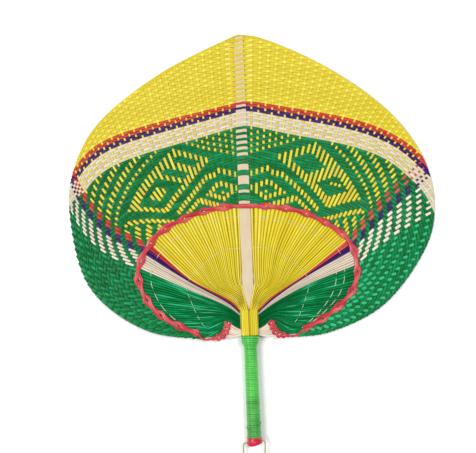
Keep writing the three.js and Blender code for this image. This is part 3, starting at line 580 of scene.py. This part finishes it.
def warp_shows(left, n, row):
    """Whether warp n lies over a weft. Diagonals are told by the difference and the sum of both."""
    d, s = row - n, row + n
    twill = d % 4 in (3, 0)
    if row < GREEN_ROW:
        return s % 2 == 1
    if n > YELLOW_WARPS:
        return twill
    if s <= 47:
        return s % 2 == 1
    # The big diamond, where the warps lie on top but for two figures inside it.
    if 27 <= d <= 40 and 51 <= s <= 79:
        if left:
            upper = 30 <= d <= 37 and (53 <= s <= 55 or 59 <= s <= 61)
            lower = 30 <= d <= 38 and 64 <= s <= 77 and not (32 <= d <= 35 and 68 <= s <= 73)
        else:
            upper = 31 <= d <= 37 and 54 <= s <= 61
            lower = 30 <= d <= 37 and 67 <= s <= 74 and not (row == 51 and 18 <= n <= 20)
        return not (upper or lower)
    # The field outward of the diamond, and one line along its side.
    if d <= 20:
        return twill
    if d < 27:
        return d == 23
    # Below the diamond.
    if s >= 80:
        return s in (84, 85) or (s >= 87 and twill)
    # Between the diamond and the slat: a small diamond and the lines beside it.
    if d >= 41:
        if s >= 59 and 50 <= d <= 58 and s <= 66:
            return s <= 60 or s >= 65 or d <= 51 or d >= 57 or (n == 4 and row == 59)
        if n >= 5 and d - max(7 - n, 0) in (44, 45):
            return True
        if n <= 4 and s in (54, 55):
            return True
        return (s in (69, 70, 71) and d >= 48) or (d in (48, 49) and s >= 69)
    return False


COLOURS = ["yellow", "red", "purple", "natural", "green"]
SHEETS = {"yellow": ["yellow_crown_weave"], "green": ["green_field_weave"]}
SPLINT_LOOKS = {"natural": "bare"}
SHOWS = {word: np.array([[warp_shows(word == "left", n, row) for row in range(ROWS)]
                         for n in range(WARPS + 1)]) for word, _ in SIDES}


def warp_colour(n):
    return COLOURS[int(np.searchsorted(WARP_ENDS, n))]


def row_colour(row):
    return COLOURS[int(np.searchsorted(COLOUR_ENDS[1:5], row, side="right"))]


def crossing_rise(over, turning):
    """The rise of a strip at a crossing, less beside a turn."""
    return (1 if over else -1) * CROSS_RISE * (TURN_SHARE if turning else 1.0)


# How far from the middle of the slat a weft has points on it.
SLAT_STATIONS = (0, 2.2, 4.0, SLAT_HALF - 0.4)


def weft_stations(word, half, row):
    """Places along a weft from the slat outward: strip number and rise."""
    shows = SHOWS[word][:, row]
    probe = np.linspace(0, min(row + 0.4, 6), 300)
    across = half.crossing(probe, row + 0.5)[:, 0]
    clear = SLAT_HALF_THICK + STRIP_THICK / 2 + 0.12
    lift = clear if over_slat(row) else -clear
    spots = [(float(between(a, across, probe)), lift) for a in SLAT_STATIONS]
    last = spots[-1][0]
    for n in range(1, WARPS + 1):
        strip = float(half.strip(n))
        if strip >= row - 0.1:
            continue
        reach = 0.3 * float(half.strip(n + 0.5) - half.strip(n - 0.5))
        for off in (-1, 0, 1):
            at = strip + off * reach
            if last + 0.12 < at < row - 0.02:
                beside = shows[min(max(n + off, 1), WARPS)]
                spots.append((at, crossing_rise(not shows[n], off and beside != shows[n])))
                last = at
    return spots


def bulge(rises):
    """How near each place of a strip is to the top of a crossing, from 0 to 1."""
    return ramp(rises / CROSS_RISE, TURN_SHARE, 1)


# Where the slope of a weft is measured beside the slat, and how wide its bend is rounded.
KINK_REACH, KINK_ROUND = 9, 4


def rounded(line):
    """Takes the kink out of a weft where its two halves meet over the slat."""
    slope = (line[0, 1] - between(KINK_REACH, line[:, 0], line[:, 1])) / KINK_REACH
    line[:, 1] -= slope * (np.sqrt(line[:, 0] ** 2 + KINK_ROUND ** 2) - line[:, 0])
    return line


def lay_weft(pile, row):
    """Adds one weft, from the left rim over or under the slat to the right rim."""
    crown, pale, green = row < RED_ROW, NATURAL_ROW <= row < GREEN_ROW, row >= GREEN_ROW
    gap = 0.01 if crown or pale else 0.03
    edges, tops = [[], []], []
    for word, half in SIDES:
        strips, rises = np.array(weft_stations(word, half, row)).T
        # How near each place is to the top of a crossing, for the crown's painted highlights; none over the
        # slat.
        top = np.append(bulge(rises), 0)
        top[:len(SLAT_STATIONS)] = 0
        tops.append(top[::-1] if half is LEFT else top[1:])
        for edge, at in zip(edges, (row + gap, row + 1 - gap)):
            line = half.place(rounded(half.crossing(np.minimum(strips, at), at)), rises)
            line = np.vstack([line, half.place(half.crossing(at, at), -0.1)])
            edge.append(line[::-1] if half is LEFT else line[1:])
    tone = rng.uniform(-1.2, 0.4) if green else rng.uniform(-1, 1)
    # In the crown each weft is painted lighter on the top of every crossing, a painted highlight, and darker
    # between.
    if crown:
        tone = 0.4 * tone - 1.1 + 2.4 * np.concatenate(tops)
    elif green:
        # Painted shade: the green wefts grow darker toward the left rim.
        tone -= 1.4 * np.concatenate([np.linspace(1, 0, len(tops[0])), 0 * tops[1]])
    # Painted shade along the weft's edges: little in the crown and the pale band.
    worn = 0.08 if crown else 0.3 if pale else 1.0
    pile.strip(*(np.vstack(edge) for edge in edges), tone=tone, worn=worn)


# A warp's width at rows of the weave.
WIDTH_ROWS = [0, 27, 30, 38, 41, 60, 66]
WARP_WIDTHS = [2.5, 2.2, 1.9, 2.0, 2.8, 3.0, 3.3]

# Rows over which the yellow warps change their look, at the foot of the crown and at the green field.
CROWN_EDGE, GREEN_EDGE = [RED_ROW - 2, RED_ROW + 2], [GREEN_ROW, GREEN_ROW + 2]


def lay_warp(pile, word, half, n):
    """Adds one warp, from under the ring to the rim."""
    shows, strip = SHOWS[word][n], float(half.strip(n))
    stations, rises = [ROWS + 0.3], [0.0]
    for row in range(ROWS - 1, int(np.ceil(strip)) - 1, -1):
        for step in (1, 0, -1):
            beside = shows[min(max(row + step, 0), ROWS - 1)]
            stations.append(row + 0.5 + 0.3 * step)
            rises.append(crossing_rise(shows[row], step and beside != shows[row]))
    stations, rises = np.array(stations + [strip + 0.12]), np.array(rises + [-0.12])
    rows = np.minimum(stations, ROWS)
    centre = half.crossing(strip, rows)
    first = half.ring_at(strip)
    centre[0] = first + 0.8 * unit(first - centre[1])
    inner, outer = (half.crossing(half.strip(k), rows) for k in (n - 0.5, n + 0.5))
    pitch = np.linalg.norm(outer - inner, axis=-1)
    half_wide = np.minimum(between(stations, WIDTH_ROWS, WARP_WIDTHS), 0.86 * pitch) / 2
    tone = rng.uniform(-1, 1)
    if warp_colour(n) == "green":
        # Painted light on the green warps: lighter on the top of each crossing, a painted highlight, and
        # darker on the left side, a painted shade.
        base, gain = (0.1, 1.9) if half is RIGHT else (-1.0, 1.2)
        tone = tone / 2 + base + gain * bulge(rises)
    elif n <= YELLOW_WARPS:
        half_wide *= between(stations, GREEN_EDGE, [1, 0.9])
        tone *= between(stations, CROWN_EDGE, [0.35, 1])
        # Painted shade: the yellow warps are darker in the crown, around the wefts' painted highlights, and
        # in the green field.
        tone -= between(stations, CROWN_EDGE + GREEN_EDGE, [1, 0, 0, 0.6])
    # Painted shade along the warp's edges, little in the crown.
    worn = between(stations, CROWN_EDGE, [0.08, 1])
    pile.strip(*half.band(centre, half_wide[:, None], rises), tone=tone, worn=worn)


def weave():
    wefts, warps = ({colour: Pile() for colour in COLOURS} for _ in range(2))
    for row in range(ROWS):
        lay_weft(wefts[row_colour(row)], row)
    for word, half in SIDES:
        for n in range(1, WARPS + 1):
            lay_warp(warps[warp_colour(n)], word, half, n)
    for colour, first, after in zip(COLOURS, COLOUR_ENDS, COLOUR_ENDS[1:]):
        slot = f"{colour}_bamboo"
        nodes = SHEETS.get(colour) or [f"{colour}_weft_{k + 1}" for k in range(after - first)]
        wefts[colour].build(f"{colour}_wefts", colour, slot, nodes)
        warps[colour].build(f"{colour}_warps", SPLINT_LOOKS.get(colour, colour), slot)


# The splints

# How far along the middle stitch, the gather and the neck's side each colour ends.
STITCH_SHARES = [0, 0.481, 0.492, 0.504, 0.566, 1]
GATHER_SHARES = [0, 0.42, 0.46, 0.5, 0.58, 1]
NECK_SIDE_SHARES = [0.987, 0.93, 0.88, 0.815, 0.2]

# Where the yellow splints bend in, how much higher the innermost does, how far they climb at the neck.
BEND_UP, BEND_LIFT, NECK_CLIMB = 154, 3, 3.3

# The yellow splints that lie broad on the neck.
NECK_FRONT = (4, 10, 16, 22)

# Shares of a splint's way from the ring (0) to the neck (1) and down its front.
ON_BLADE = np.concatenate([np.linspace(0, 0.6, 14), np.linspace(0.64, 1, 13)])
WITH_NECK = np.concatenate([ON_BLADE, np.linspace(1.02, 1.4, 9)])

# A splint's section: place across it, share of its crown and share of its drop into the gaps.
ROD_SECTION = [(-0.6, 0, -1), (-0.4, 0, -0.15), (-0.22, 0.78, 0), (0, 1, 0), (0.22, 0.78, 0),
               (0.4, 0, -0.15), (0.6, 0, -1), (0.3, 0, -1.1), (-0.3, 0, -1.1)]
ROD_ACROSS = [0, 0.0005, 0.001, 0.0016, 0.0022, 0.0027, 0.0032, 0.004, 0.005]
# How much painted shade each corner of the section takes, most at the edges and on the skirts into the gaps.
ROD_EDGES = [1, 0.5, 0, 0, 0, 0.5, 1, 1, 1]

# Places beside the neck that the splints' lower edge and the red binding pass.
FOOT_SPOTS = ([26, -0.06], [18.6, 0.02], [14.2, 0.3], [11.4, 0.52], [6, 0.34], [0.3, 0.16])
BINDING_SPOTS = ([36.5, -0.13], [24.8, -0.1], [18.6, -0.03], [15.4, 0.12], [13.4, 0.33], [11.9, 0.56])
FOOT_SPLINTS = 4


def yellow_share(strip):
    return (strip - FIRST_STRIP) / (RED_ROW - FIRST_STRIP)


def neck_point(strip):
    if strip > RED_ROW:
        return beside_neck([-0.7, between(strip, SPLINT_STOPS[1:], NECK_SIDE_SHARES)])
    return [lerp(0.7, NECK_HALF_WIDE - 0.3, yellow_share(strip)), NECK_TOP_UP + 0.3]


def splint_path(half, strip):
    """The route of a splint from the ring to the neck. The yellow ones keep apart until they bend in."""
    strip = min(max(strip, FIRST_STRIP), ROWS)
    stops = [
        half.ring_at(strip),
        STITCHES.along(between(strip, SPLINT_STOPS, STITCH_SHARES) * STITCHES.length),
        half.gather.along(between(strip, SPLINT_STOPS, GATHER_SHARES) * half.gather.length),
        neck_point(strip),
    ]
    if strip >= RED_ROW:
        return Curve(stops)
    if half.bend is None:
        edge = splint_path(half, RED_ROW).at(np.linspace(0.4, 0.7, 200))
        half.bend = float(between(-BEND_UP, -edge[:, 1], edge[:, 0]))
    share = yellow_share(strip)
    bend = [lerp(SLAT_HALF + 0.9, half.bend, share), BEND_UP + BEND_LIFT * (1 - share) ** 2]
    route = Curve(stops[:2] + [bend] + stops[2:])
    route.steps_of = [0, 0.25, 0.75, 1]
    return route


def splint_line(half, n, shares):
    """Points in millimetres along splint n, which for a yellow one end on the front of the neck."""
    blade = shares[shares <= 1]
    flat = splint_path(half, float(half.strip(n))).at(blade)
    level = half.height(flat)
    if n > YELLOW_WARPS + 0.5:
        return np.column_stack([flat, level])
    across = min(flat[-1, 0], NECK_HALF_WIDE - 0.2)
    rise = ease(ramp(blade, 0.8, 1)) * NECK_CLIMB
    rise *= np.sqrt(1 - (across / (NECK_HALF_WIDE + 0.5)) ** 2)
    up, wide, thick, middle = neck_shape((shares[shares > 1] - 1) / (shares[-1] - 1))
    on_neck = across * wide / NECK_HALF_WIDE
    high = middle + (thick + 0.35) * np.sqrt(1 - (on_neck / (wide + 0.5)) ** 2)
    return np.vstack([np.column_stack([flat, level + rise]), np.column_stack([on_neck, up, high])])


def neck_shape(share):
    """Places down the neck, from its top (0) to the collar (1): up, half width, half thickness, height."""
    up = lerp(NECK_TOP_UP + 0.3, COLLAR_TOP_UP - 0.5, share)
    wide = between(share, [0, 0.6, 1], [NECK_HALF_WIDE, NECK_HALF_WIDE, 8.4])
    thick = lerp(3.0, 8.35, share)
    return up, wide, thick, slat_height(up)


def rod(pile, half, lines, tone, tilt, raised, swell):
    """Adds a splint along its inner, middle and outer line, rounded on top."""
    inner, middle, outer = lines
    across = outer - inner
    wide = np.linalg.norm(across, axis=1)
    normal = unit(np.cross(across, np.gradient(middle, axis=0)))
    normal *= np.sign(normal[:, 2:])
    crown = between(wide * swell, [0.2, 1, 2, 3.6], [0.15, 0.42, 0.5, 0.34])
    drop = between(wide * swell, [0.2, 1, 3.6], [0.5, 1.1, 1.1])
    loops = []
    for u, top, low in ROD_SECTION:
        high = top * crown + low * drop + u * tilt * wide + raised
        loops.append(middle + across * u * swell[:, None] + normal * high[:, None])
    loops = np.stack(loops, 1)
    loops[..., 0] *= half.sign
    pile.loft(metres(loops), ROD_ACROSS, tone, ROD_EDGES)


def splint_lines(half, n, shares):
    """The inner, middle and outer line of splint n."""
    inner, middle, outer = (splint_line(half, max(k, 0.6), shares) for k in (n - 0.5, n, n + 0.5))
    if n == 1:
        inner[:len(ON_BLADE), 0] -= 0.7
    if n == YELLOW_WARPS:
        outer = 2 * middle - inner
    if n == YELLOW_WARPS + 1:
        inner = 2 * middle - outer
    return inner, middle, outer


def lay_splint(pile, half, n):
    """Adds splint n, which wanders a little. Every third yellow one is raised near the neck."""
    yellow = n <= YELLOW_WARPS
    shares = WITH_NECK if yellow else ON_BLADE
    lines = splint_lines(half, n, shares)
    free = np.sin(np.pi * np.clip(shares, 0, 1)) ** 0.5
    wave = np.sin(shares * rng.uniform(2, 8) + rng.uniform(0, 6)) * free
    shift = (lines[2] - lines[0]) * (0.14 * wave * rng.uniform(-1, 1))[:, None]
    down = ramp(shares, 0.86, 1)
    near = ramp(shares, 0.5, 0.65) * (1 - down)
    tone = rng.uniform(-1, 1) + 0 * shares
    if yellow:
        top, front = n % 3 == 1, n in NECK_FRONT
        raised = rng.uniform(-0.25, 0.25) * free * (1 - down)
        raised += near * (0.55 if top else -0.45) + down * (0.6 if front else -0.8)
        swell = 1 + near * (0.85 if top else 0) + down * (6.5 if front else 0)
        # Painted light near the gather: the raised splints lighter, the others darker.
        tone += near * (0.5 if top else -1)
    else:
        raised = rng.uniform(-0.35, 0.35) * free
        swell = 1 + rng.uniform(-0.1, 0.25) * free
    if warp_colour(n) == "green":
        # Painted light on the green splints: a painted glint somewhere along each, and painted shade on the
        # right side and toward the gather.
        painted_glint = np.exp(-((shares - rng.uniform(0.12, 0.55)) / 0.1) ** 2)
        tone = 1.2 * tone - (0.7 if half is RIGHT else 0.1) + 2.3 * painted_glint - 0.5 * ramp(shares, 0.6, 0.9)
    tilt = lerp(0.02, 0.2, ramp(shares, 0, 1 / 3)) + rng.uniform(-0.15, 0.15)
    rod(pile, half, [line + shift for line in lines], tone, tilt, raised, swell)


def splints():
    for word, half in SIDES:
        piles = {colour: Pile() for colour in COLOURS}
        for n in range(1, WARPS + 1):
            lay_splint(piles[warp_colour(n)], half, n)
        last, foot = splint_line(half, WARPS + 0.5, ON_BLADE), foot_line(half, len(ON_BLADE))
        for k in range(FOOT_SPLINTS):
            lines = [lerp(last, foot, share / FOOT_SPLINTS) for share in (k, k + 0.5, k + 1)]
            rod(piles["green"], half, lines, rng.uniform(-1, 1), 0.1, 0.0, np.ones(len(ON_BLADE)))
        for colour in COLOURS:
            piles[colour].build(f"{colour}_splints_{word}_woven", SPLINT_LOOKS.get(colour, colour),
                                f"{colour}_bamboo", [f"{colour}_splints_{word}"], 50)


def foot_route(half, strip, spots):
    """A line from the ring, at a strip, through places beside the neck."""
    return Curve([half.ring_at(strip), *beside_neck(spots)])


def foot_line(half, count):
    """The lower edge of the splints, along the red binding."""
    route = foot_route(half, 65.6, FOOT_SPOTS)
    flat = route.along(np.linspace(0, route.length, count))
    return np.column_stack([flat, half.height(flat)])


# The slat

SLAT_EDGE = [[-1, -0.55], [-1, 0.5], [-0.95, 0.9], [-0.88, 1], [0.88, 1], [0.95, 0.9], [1, 0.5],
             [1, -0.55], [0.9, -1], [-0.9, -1]]

# Places up the slat, its half width there and how far it stands to the right.
SLAT_END_UP = TIP_UP - 1.2
SLAT_UPS = [SLAT_POINT_UP, SLAT_TAPER_UP, 318, 332, TIP_UP - 12, SLAT_END_UP]
SLAT_HALVES = [0.4, SLAT_HALF, SLAT_HALF, 4.8, 4.7, 3.9]
SLAT_SHIFTS = [0, 0, 0, 0.6, 0.7, 1.3]


def slat():
    ups = np.concatenate([np.linspace(SLAT_END_UP, SLAT_TAPER_UP, 90),
                          np.linspace(SLAT_TAPER_UP, SLAT_POINT_UP, 16)[1:]])
    half, shift = between(ups, SLAT_UPS, SLAT_HALVES), between(ups, SLAT_UPS, SLAT_SHIFTS)
    edge = np.array(SLAT_EDGE)
    middle = slat_height(ups)
    across = half[:, None] * edge[:, 0] + (shift + 0.06 * np.sin(ups / 13))[:, None]
    high = middle[:, None] + SLAT_HALF_THICK * edge[:, 1]
    pile = Pile()
    pile.loft(metres(np.stack([across, np.broadcast_to(ups[:, None], across.shape), high], -1)),
              edge[:, 0] * 0.0055)
    pile.build("slat", "slat", "natural_bamboo", ["spine_slat"], 30)


# The red ring and the bindings

# The length of one opening between the ring's strands, and the strip where they end.
LENS_LONG, RING_END_STRIP = 20.3, 63.4


def ring_line():
    """The ring's middle from left to right: run, place, direction to its side, height."""
    reach = [float(between(RING_END_STRIP, COLOUR_ENDS, half.ring_lengths)) for half in (LEFT, RIGHT)]
    runs = np.linspace(-reach[0], reach[1], 420)
    flat, side, high = [], [], []
    for run in runs:
        half = LEFT if run < 0 else RIGHT
        spot, ahead = half.ring.along(abs(run)), half.ring.along(abs(run) + 0.5)
        way = unit(ahead - spot)
        flat.append([half.sign * spot[0], spot[1]])
        side.append([-half.sign * way[1], way[0]])
        high.append(half.height(spot))
    return runs, np.array(flat), np.array(side), np.array(high)


def ring():
    runs, flat, side, high = ring_line()
    away = ease(ramp(np.abs(runs), 4, 13))
    phase = np.pi * runs / LENS_LONG
    swell = np.abs(np.cos(phase))
    for k, turn in enumerate((1, -1)):
        wander = 0.3 * np.sin(runs / 7.3 + 2 * k) + 0.15 * np.sin(runs / 3.1 + k)
        apart = lerp(0.5, 1.25, away) * swell ** 1.3 + 1.2 * away * swell ** 14
        sway = turn * np.sign(np.cos(phase)) * apart + wander * away
        level = high + lerp(2.0, 1.5, away) + turn * 0.5 * np.sin(phase)
        wide = 3.7 - 0.5 * swell ** 16 + 0.3 * np.sin(runs / 4.7 + k)
        tilt = turn * 0.35 * np.sin(phase)
        line = flat + side * sway[:, None]
        across = sideways(line) * wide[:, None] / 2
        edges = [metres(np.column_stack([line + way * across, level + way * tilt])) for way in (1, -1)]
        pile = Pile()
        # The strands' edges take half the painted shade.
        pile.strip(*edges, thick=0.5, crown=0.3, tone=np.sin(runs / 5.1 + 3 * k), worn=0.5)
        pile.build(f"ring_{k + 1}", "ring", "red_bamboo", [f"ring_strand_{k + 1}"])
    knots = Pile()
    reach = np.linspace(-1, 1, 7)
    for lens in (way * number for number in range(1, 6) for way in (-1, 1)):
        spot = int(np.argmin(np.abs(runs - lens * LENS_LONG)))
        line = flat[spot] + 1.1 * reach[:, None] * unit(flat[spot + 1] - flat[spot - 1])
        size = 0.00055 * np.sqrt(1.05 - reach ** 2)
        knots.tube(metres(np.column_stack([line, high[spot] + 2.0 - 0.5 * reach ** 2])), size, 8)
    knots.build("ring_knots", "yellow", "yellow_bamboo", sharp=80)


# The count of strips of one colour beside the neck, and where the lowest and the highest start and end.
LOWER_COUNT = 8
LOWEST, HIGHEST = np.array([[[17.5, -0.05], [-0.9, -0.02]], [[11.6, 0.6], [-0.6, 0.22]]])


def lower_strips(word, half):
    """Short strips beside the neck, pale and red by turns."""
    pale, red = Pile(), Pile()
    t = np.linspace(0, 1, 12)[:, None]
    half_wide = (1.3 - 0.4 * t + 0.6 * np.sin(np.pi * t)) / 2
    for k in range(2 * LOWER_COUNT):
        share = (k / 2 + 0.3 + rng.uniform(-0.1, 0.1)) / LOWER_COUNT
        start, end = beside_neck(lerp(LOWEST, HIGHEST, share))
        line = lerp(start, end, t) + np.array([0, -1.6]) * np.sin(np.pi * t) * rng.uniform(0.6, 1.2)
        rise = 0.45 * (1 - k % 2) + rng.uniform(-0.15, 0.15)
        pile = red if k % 2 else pale
        pile.strip(*half.band(line, half_wide, rise), thick=0.5, tone=rng.uniform(-1, 1))
    pale.build(f"lower_strips_{word}", "bare", "natural_bamboo", [f"lower_splints_{word}"])
    red.build(f"lower_red_strips_{word}", "red", "red_bamboo")


def foot_binding(word, half):
    """Two red strands twisted along the foot of the blade, wider apart beside the neck."""
    route = foot_route(half, 63.2, BINDING_SPOTS)
    runs = np.linspace(0, route.length, 220)
    spot = route.along(runs)
    across = sideways(spot)
    swing = np.clip(1 - (route.length - runs - 19) / 9, 0.1, 1)
    half_wide = lerp(0.8, 1.25, swing)[:, None]
    phase = np.pi * runs / 4.6
    pile = Pile()
    for turn in (1, -1):
        line = spot + across * (turn * 2.5 * swing * np.cos(phase))[:, None]
        rise = 1.1 + turn * 0.6 * np.sin(phase)
        edges = half.band(line, half_wide, rise)
        # The strands' edges take most of the painted shade.
        pile.strip(*edges, thick=0.45, crown=0.4, tone=rng.uniform(-1, 1), worn=0.6)
    pile.build(f"foot_binding_{word}", "ring", "red_bamboo", [f"lower_binding_{word}"])


# The stitches

# The threads over the slat: share of the way to the neck, height on the slat, last warp and radius.
MIDDLE_THREADS = [(1 / 3, 191.7, 62, 0.00021), (0.535, 167.5, 7, 0.00018)]

# The threads beside the ring: share of the way to the neck, first and last warp.
OUTER_THREADS = {"left": [(0.085, 1, 66)], "right": [(0.085, 1, 66), (0.105, 2, 17), (0.14, 38, 62)]}


def thread_line(half, share, first, last, raise_by):
    """A thread that passes over one splint and under the next."""
    numbers = np.arange(first, last + 0.01, 0.25)
    numbers = numbers[(numbers <= YELLOW_WARPS) | (numbers > YELLOW_WARPS + 0.5)]
    line = [splint_path(half, float(half.strip(n))).at(share) for n in numbers]
    over = np.clip(0.5 + 0.9 * np.cos(np.pi * numbers / 2), 0, 1)
    return half.place(np.array(line), raise_by + 1.9 * (over - 0.72))


def slat_thread(share, up, last):
    """A thread from side to side, over the slat."""
    left, right = (thread_line(half, share, 1, last, 0.95) for half in (LEFT, RIGHT))
    reach = np.linspace(-5.4, 5.4, 9)
    level = slat_height(up) + 1.05 + 0 * reach
    over = np.column_stack([reach, up + 0.2 * np.sin(reach), level])
    return np.vstack([left[::-1], metres(over), right])


def stitches():
    pile = Pile()
    for share, up, last, stout in MIDDLE_THREADS:
        pile.tube(slat_thread(share, up, last), stout)
    pile.build("middle_thread", "thread", "stitch_thread", ["middle_stitch"], 80)
    for word, half in SIDES:
        pile = Pile()
        for share, first, last in OUTER_THREADS[word]:
            line = thread_line(half, share, first, last, 0.8)
            stout = between(np.linspace(first, last, len(line)), [28, 36], [0.00018, 0.0003])
            pile.tube(line, stout)
        for k, up in enumerate((221.3, 219.6)):
            reach = half.sign * np.linspace(0, 7.5, 8)
            level = slat_height(up) + np.where(np.abs(reach) < 5.6, 1.02, 0.9)
            pile.tube(metres(np.column_stack([reach, up + 0.25 * np.sin(reach + k), level])), 0.00016)
        pile.build(f"outer_thread_{word}", "thread", "stitch_thread", [f"outer_stitch_{word}"], 80)


# The neck and the handle

# Places up the handle and its radius there, then the same for the wrapped end.
HANDLE_UPS = [6.3, 45, 94.5, 97.2, COLLAR_FOOT_UP, 104.5, COLLAR_TOP_UP]
HANDLE_RADII = [7, 6.7, 6.4, 7.3, 8.7, 8.9, 8.7]
CAP_UPS = [-1.5, -1.5, -1.2, -0.6, 0.3, 1.4, 2.6, 3.8, 5.0, 5.9, 6.5, 6.7, 6.2]
CAP_RADII = [0.3, 4.6, 5.8, 6.6, 7.1, 7.35, 7.3, 7.2, 7.25, 7.3, 7.1, 6.6, 5.9]


def neck():
    share = np.linspace(0, 1, 22)
    ups, half_wide, half_thick, middle = neck_shape(share)

    def around(angle, out):
        high = middle + (half_thick + out) * np.sin(angle)
        return metres(np.stack([(half_wide + out) * np.cos(angle), ups, high], -1))

    pile = Pile()
    sides, count = 28, 30
    pile.loft(np.stack([around(turn, -0.4) for turn in circle(sides)], 1), np.arange(sides) * 0.001)
    for k in range(count):
        angle = 2 * np.pi * (k + 0.5) / count
        if np.sin(angle) > 0.35:
            continue
        reach = np.pi / count * rng.uniform(1.0, 1.3)
        lean = 0.035 * np.sin(share * rng.uniform(3, 8) + k)
        edges = [around(angle + lean + way * reach, 0.05 * (k % 3)) for way in (-1, 1)]
        pile.strip(*edges, thick=0.4, crown=1.2, tone=rng.uniform(-1, 1))
    pile.build("neck_strips", "yellow", "yellow_bamboo", ["neck_bundle"])


def handle_radius(up):
    return between(up, HANDLE_UPS, HANDLE_RADII)


def winding():
    turns, steps, sides = 47, 44, 8
    foot, top = 6.6, COLLAR_TOP_UP - 0.6
    t = np.linspace(0, 1, turns * steps + 1)
    angle = 2 * np.pi * turns * t
    up = lerp(foot, top, t) + 0.1 * np.sin(angle * 0.37) + 0.04 * np.sin(angle * 1.93)
    out = np.stack([np.cos(angle), 0 * t, np.sin(angle)], -1)
    radius = handle_radius(up) - 0.55 + 0.07 * np.sin(angle * 0.61)
    line = out * radius[:, None] + np.column_stack([0 * t, up, np.full(len(t), COLLAR_RADIUS)])
    across = unit(np.cross(np.gradient(line, axis=0), out))
    tone = between(up, [6, 20, 36, 42, 45, 52, 107], [-1, -0.7, -0.2, -0.9, 0.2, 0.4, 0.2])
    pile = Pile()
    pile.loft(metres(ovals(line, 1.2 * across, 0.62 * out, sides)), circle(sides) * 0.00035, tone)
    for start, rise, way in ((0.9, 11.0, 1), (2.1, 15.5, -1)):
        u = np.linspace(0, 1, 30)
        turn = start + way * 2.4 * u
        spot = rise + 6 * u
        out_by = handle_radius(spot) + 0.25
        loose = np.stack([out_by * np.cos(turn), spot, COLLAR_RADIUS + out_by * np.sin(turn)], -1)
        pile.tube(metres(loose), 0.00035, tone=-1.0)
    pile.build("winding", "winding", "winding_cord", ["handle_winding"], 80)


def cap():
    a, u, radii = circle(72), np.array(CAP_UPS)[:, None], np.array(CAP_RADII)[:, None]
    folds = (0.035 * np.sin(3 * a + 0.5 * u) + 0.028 * np.sin(5 * a - 0.9 * u + 1)
             + 0.014 * np.sin(11 * a + 1.7 * u) + 0.01 * np.sin(17 * a - 2.3 * u))
    radius = radii * (1 + folds * (radii > 1))
    high = ramp(u, -1.5, 6.5)
    slant = lerp(0.9, -0.35, high) * np.cos(a) + 0.25 * np.sin(2 * a + 1) * (radii > 1)
    loops = np.stack([radius * np.cos(a), u + slant, COLLAR_RADIUS + radius * np.sin(a)], -1)
    loops[..., 2] = np.maximum(loops[..., 2], 0.3)
    pile = Pile()
    pile.loft(metres(loops), a * 0.007)
    pile.build("wrapped_end", "cap", "end_cap", ["end_cap"], 60)


# Floor and light

def stage():
    bpy.context.scene.view_settings.view_transform = "Standard"
    mesh = bpy.data.meshes.new("floor")
    half = 6
    corners = [(x * half, y * half, 0) for x, y in ((-1, -1), (1, -1), (1, 1), (-1, 1))]
    mesh.from_pydata(corners, [], [(0, 1, 2, 3)])
    floor = add("floor", mesh)
    floor.location.z = -0.0002
    look = Shader("floor_white").finish((0.98, 0.98, 0.98, 1), 1.0, **{"Specular IOR Level": 0.0})
    mesh.materials.append(look)
    world = bpy.data.worlds.new("studio")
    bpy.context.scene.world = world
    world.use_nodes = True
    tree = world.node_tree
    lit, seen = tree.nodes["Background"], tree.nodes.new("ShaderNodeBackground")
    for background, strength in ((lit, 0.4), (seen, 1.0)):
        background.inputs["Color"].default_value = (1, 1, 1, 1)
        background.inputs["Strength"].default_value = strength
    path = tree.nodes.new("ShaderNodeLightPath")
    mix = tree.nodes.new("ShaderNodeMixShader")
    tree.links.new(path.outputs["Is Camera Ray"], mix.inputs[0])
    tree.links.new(lit.outputs[0], mix.inputs[1])
    tree.links.new(seen.outputs[0], mix.inputs[2])
    tree.links.new(mix.outputs[0], tree.nodes["World Output"].inputs["Surface"])
    lamp("key", (-0.95, -0.15, 1.85), wide=0.45, power=1.75)
    lamp("fill", (0.6, 0.4, 1.9), wide=0.3, power=0.95)


def lamp(name, place, wide, power):
    data = bpy.data.lights.new(name, "SUN")
    data.angle = wide
    data.energy = power
    light = add(name, data)
    light.location = place
    light.rotation_euler = (-Vector(place)).to_track_quat("-Z", "Y").to_euler()


make_camera()
hanging_cord()
MATERIALS = make_materials()
weave()
splints()
slat()
ring()
for word, half in SIDES:
    lower_strips(word, half)
    foot_binding(word, half)
stitches()
neck()
winding()
cap()
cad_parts["handle_core"].data.materials.clear()
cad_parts["handle_core"].data.materials.append(MATERIALS["core"])
stage()
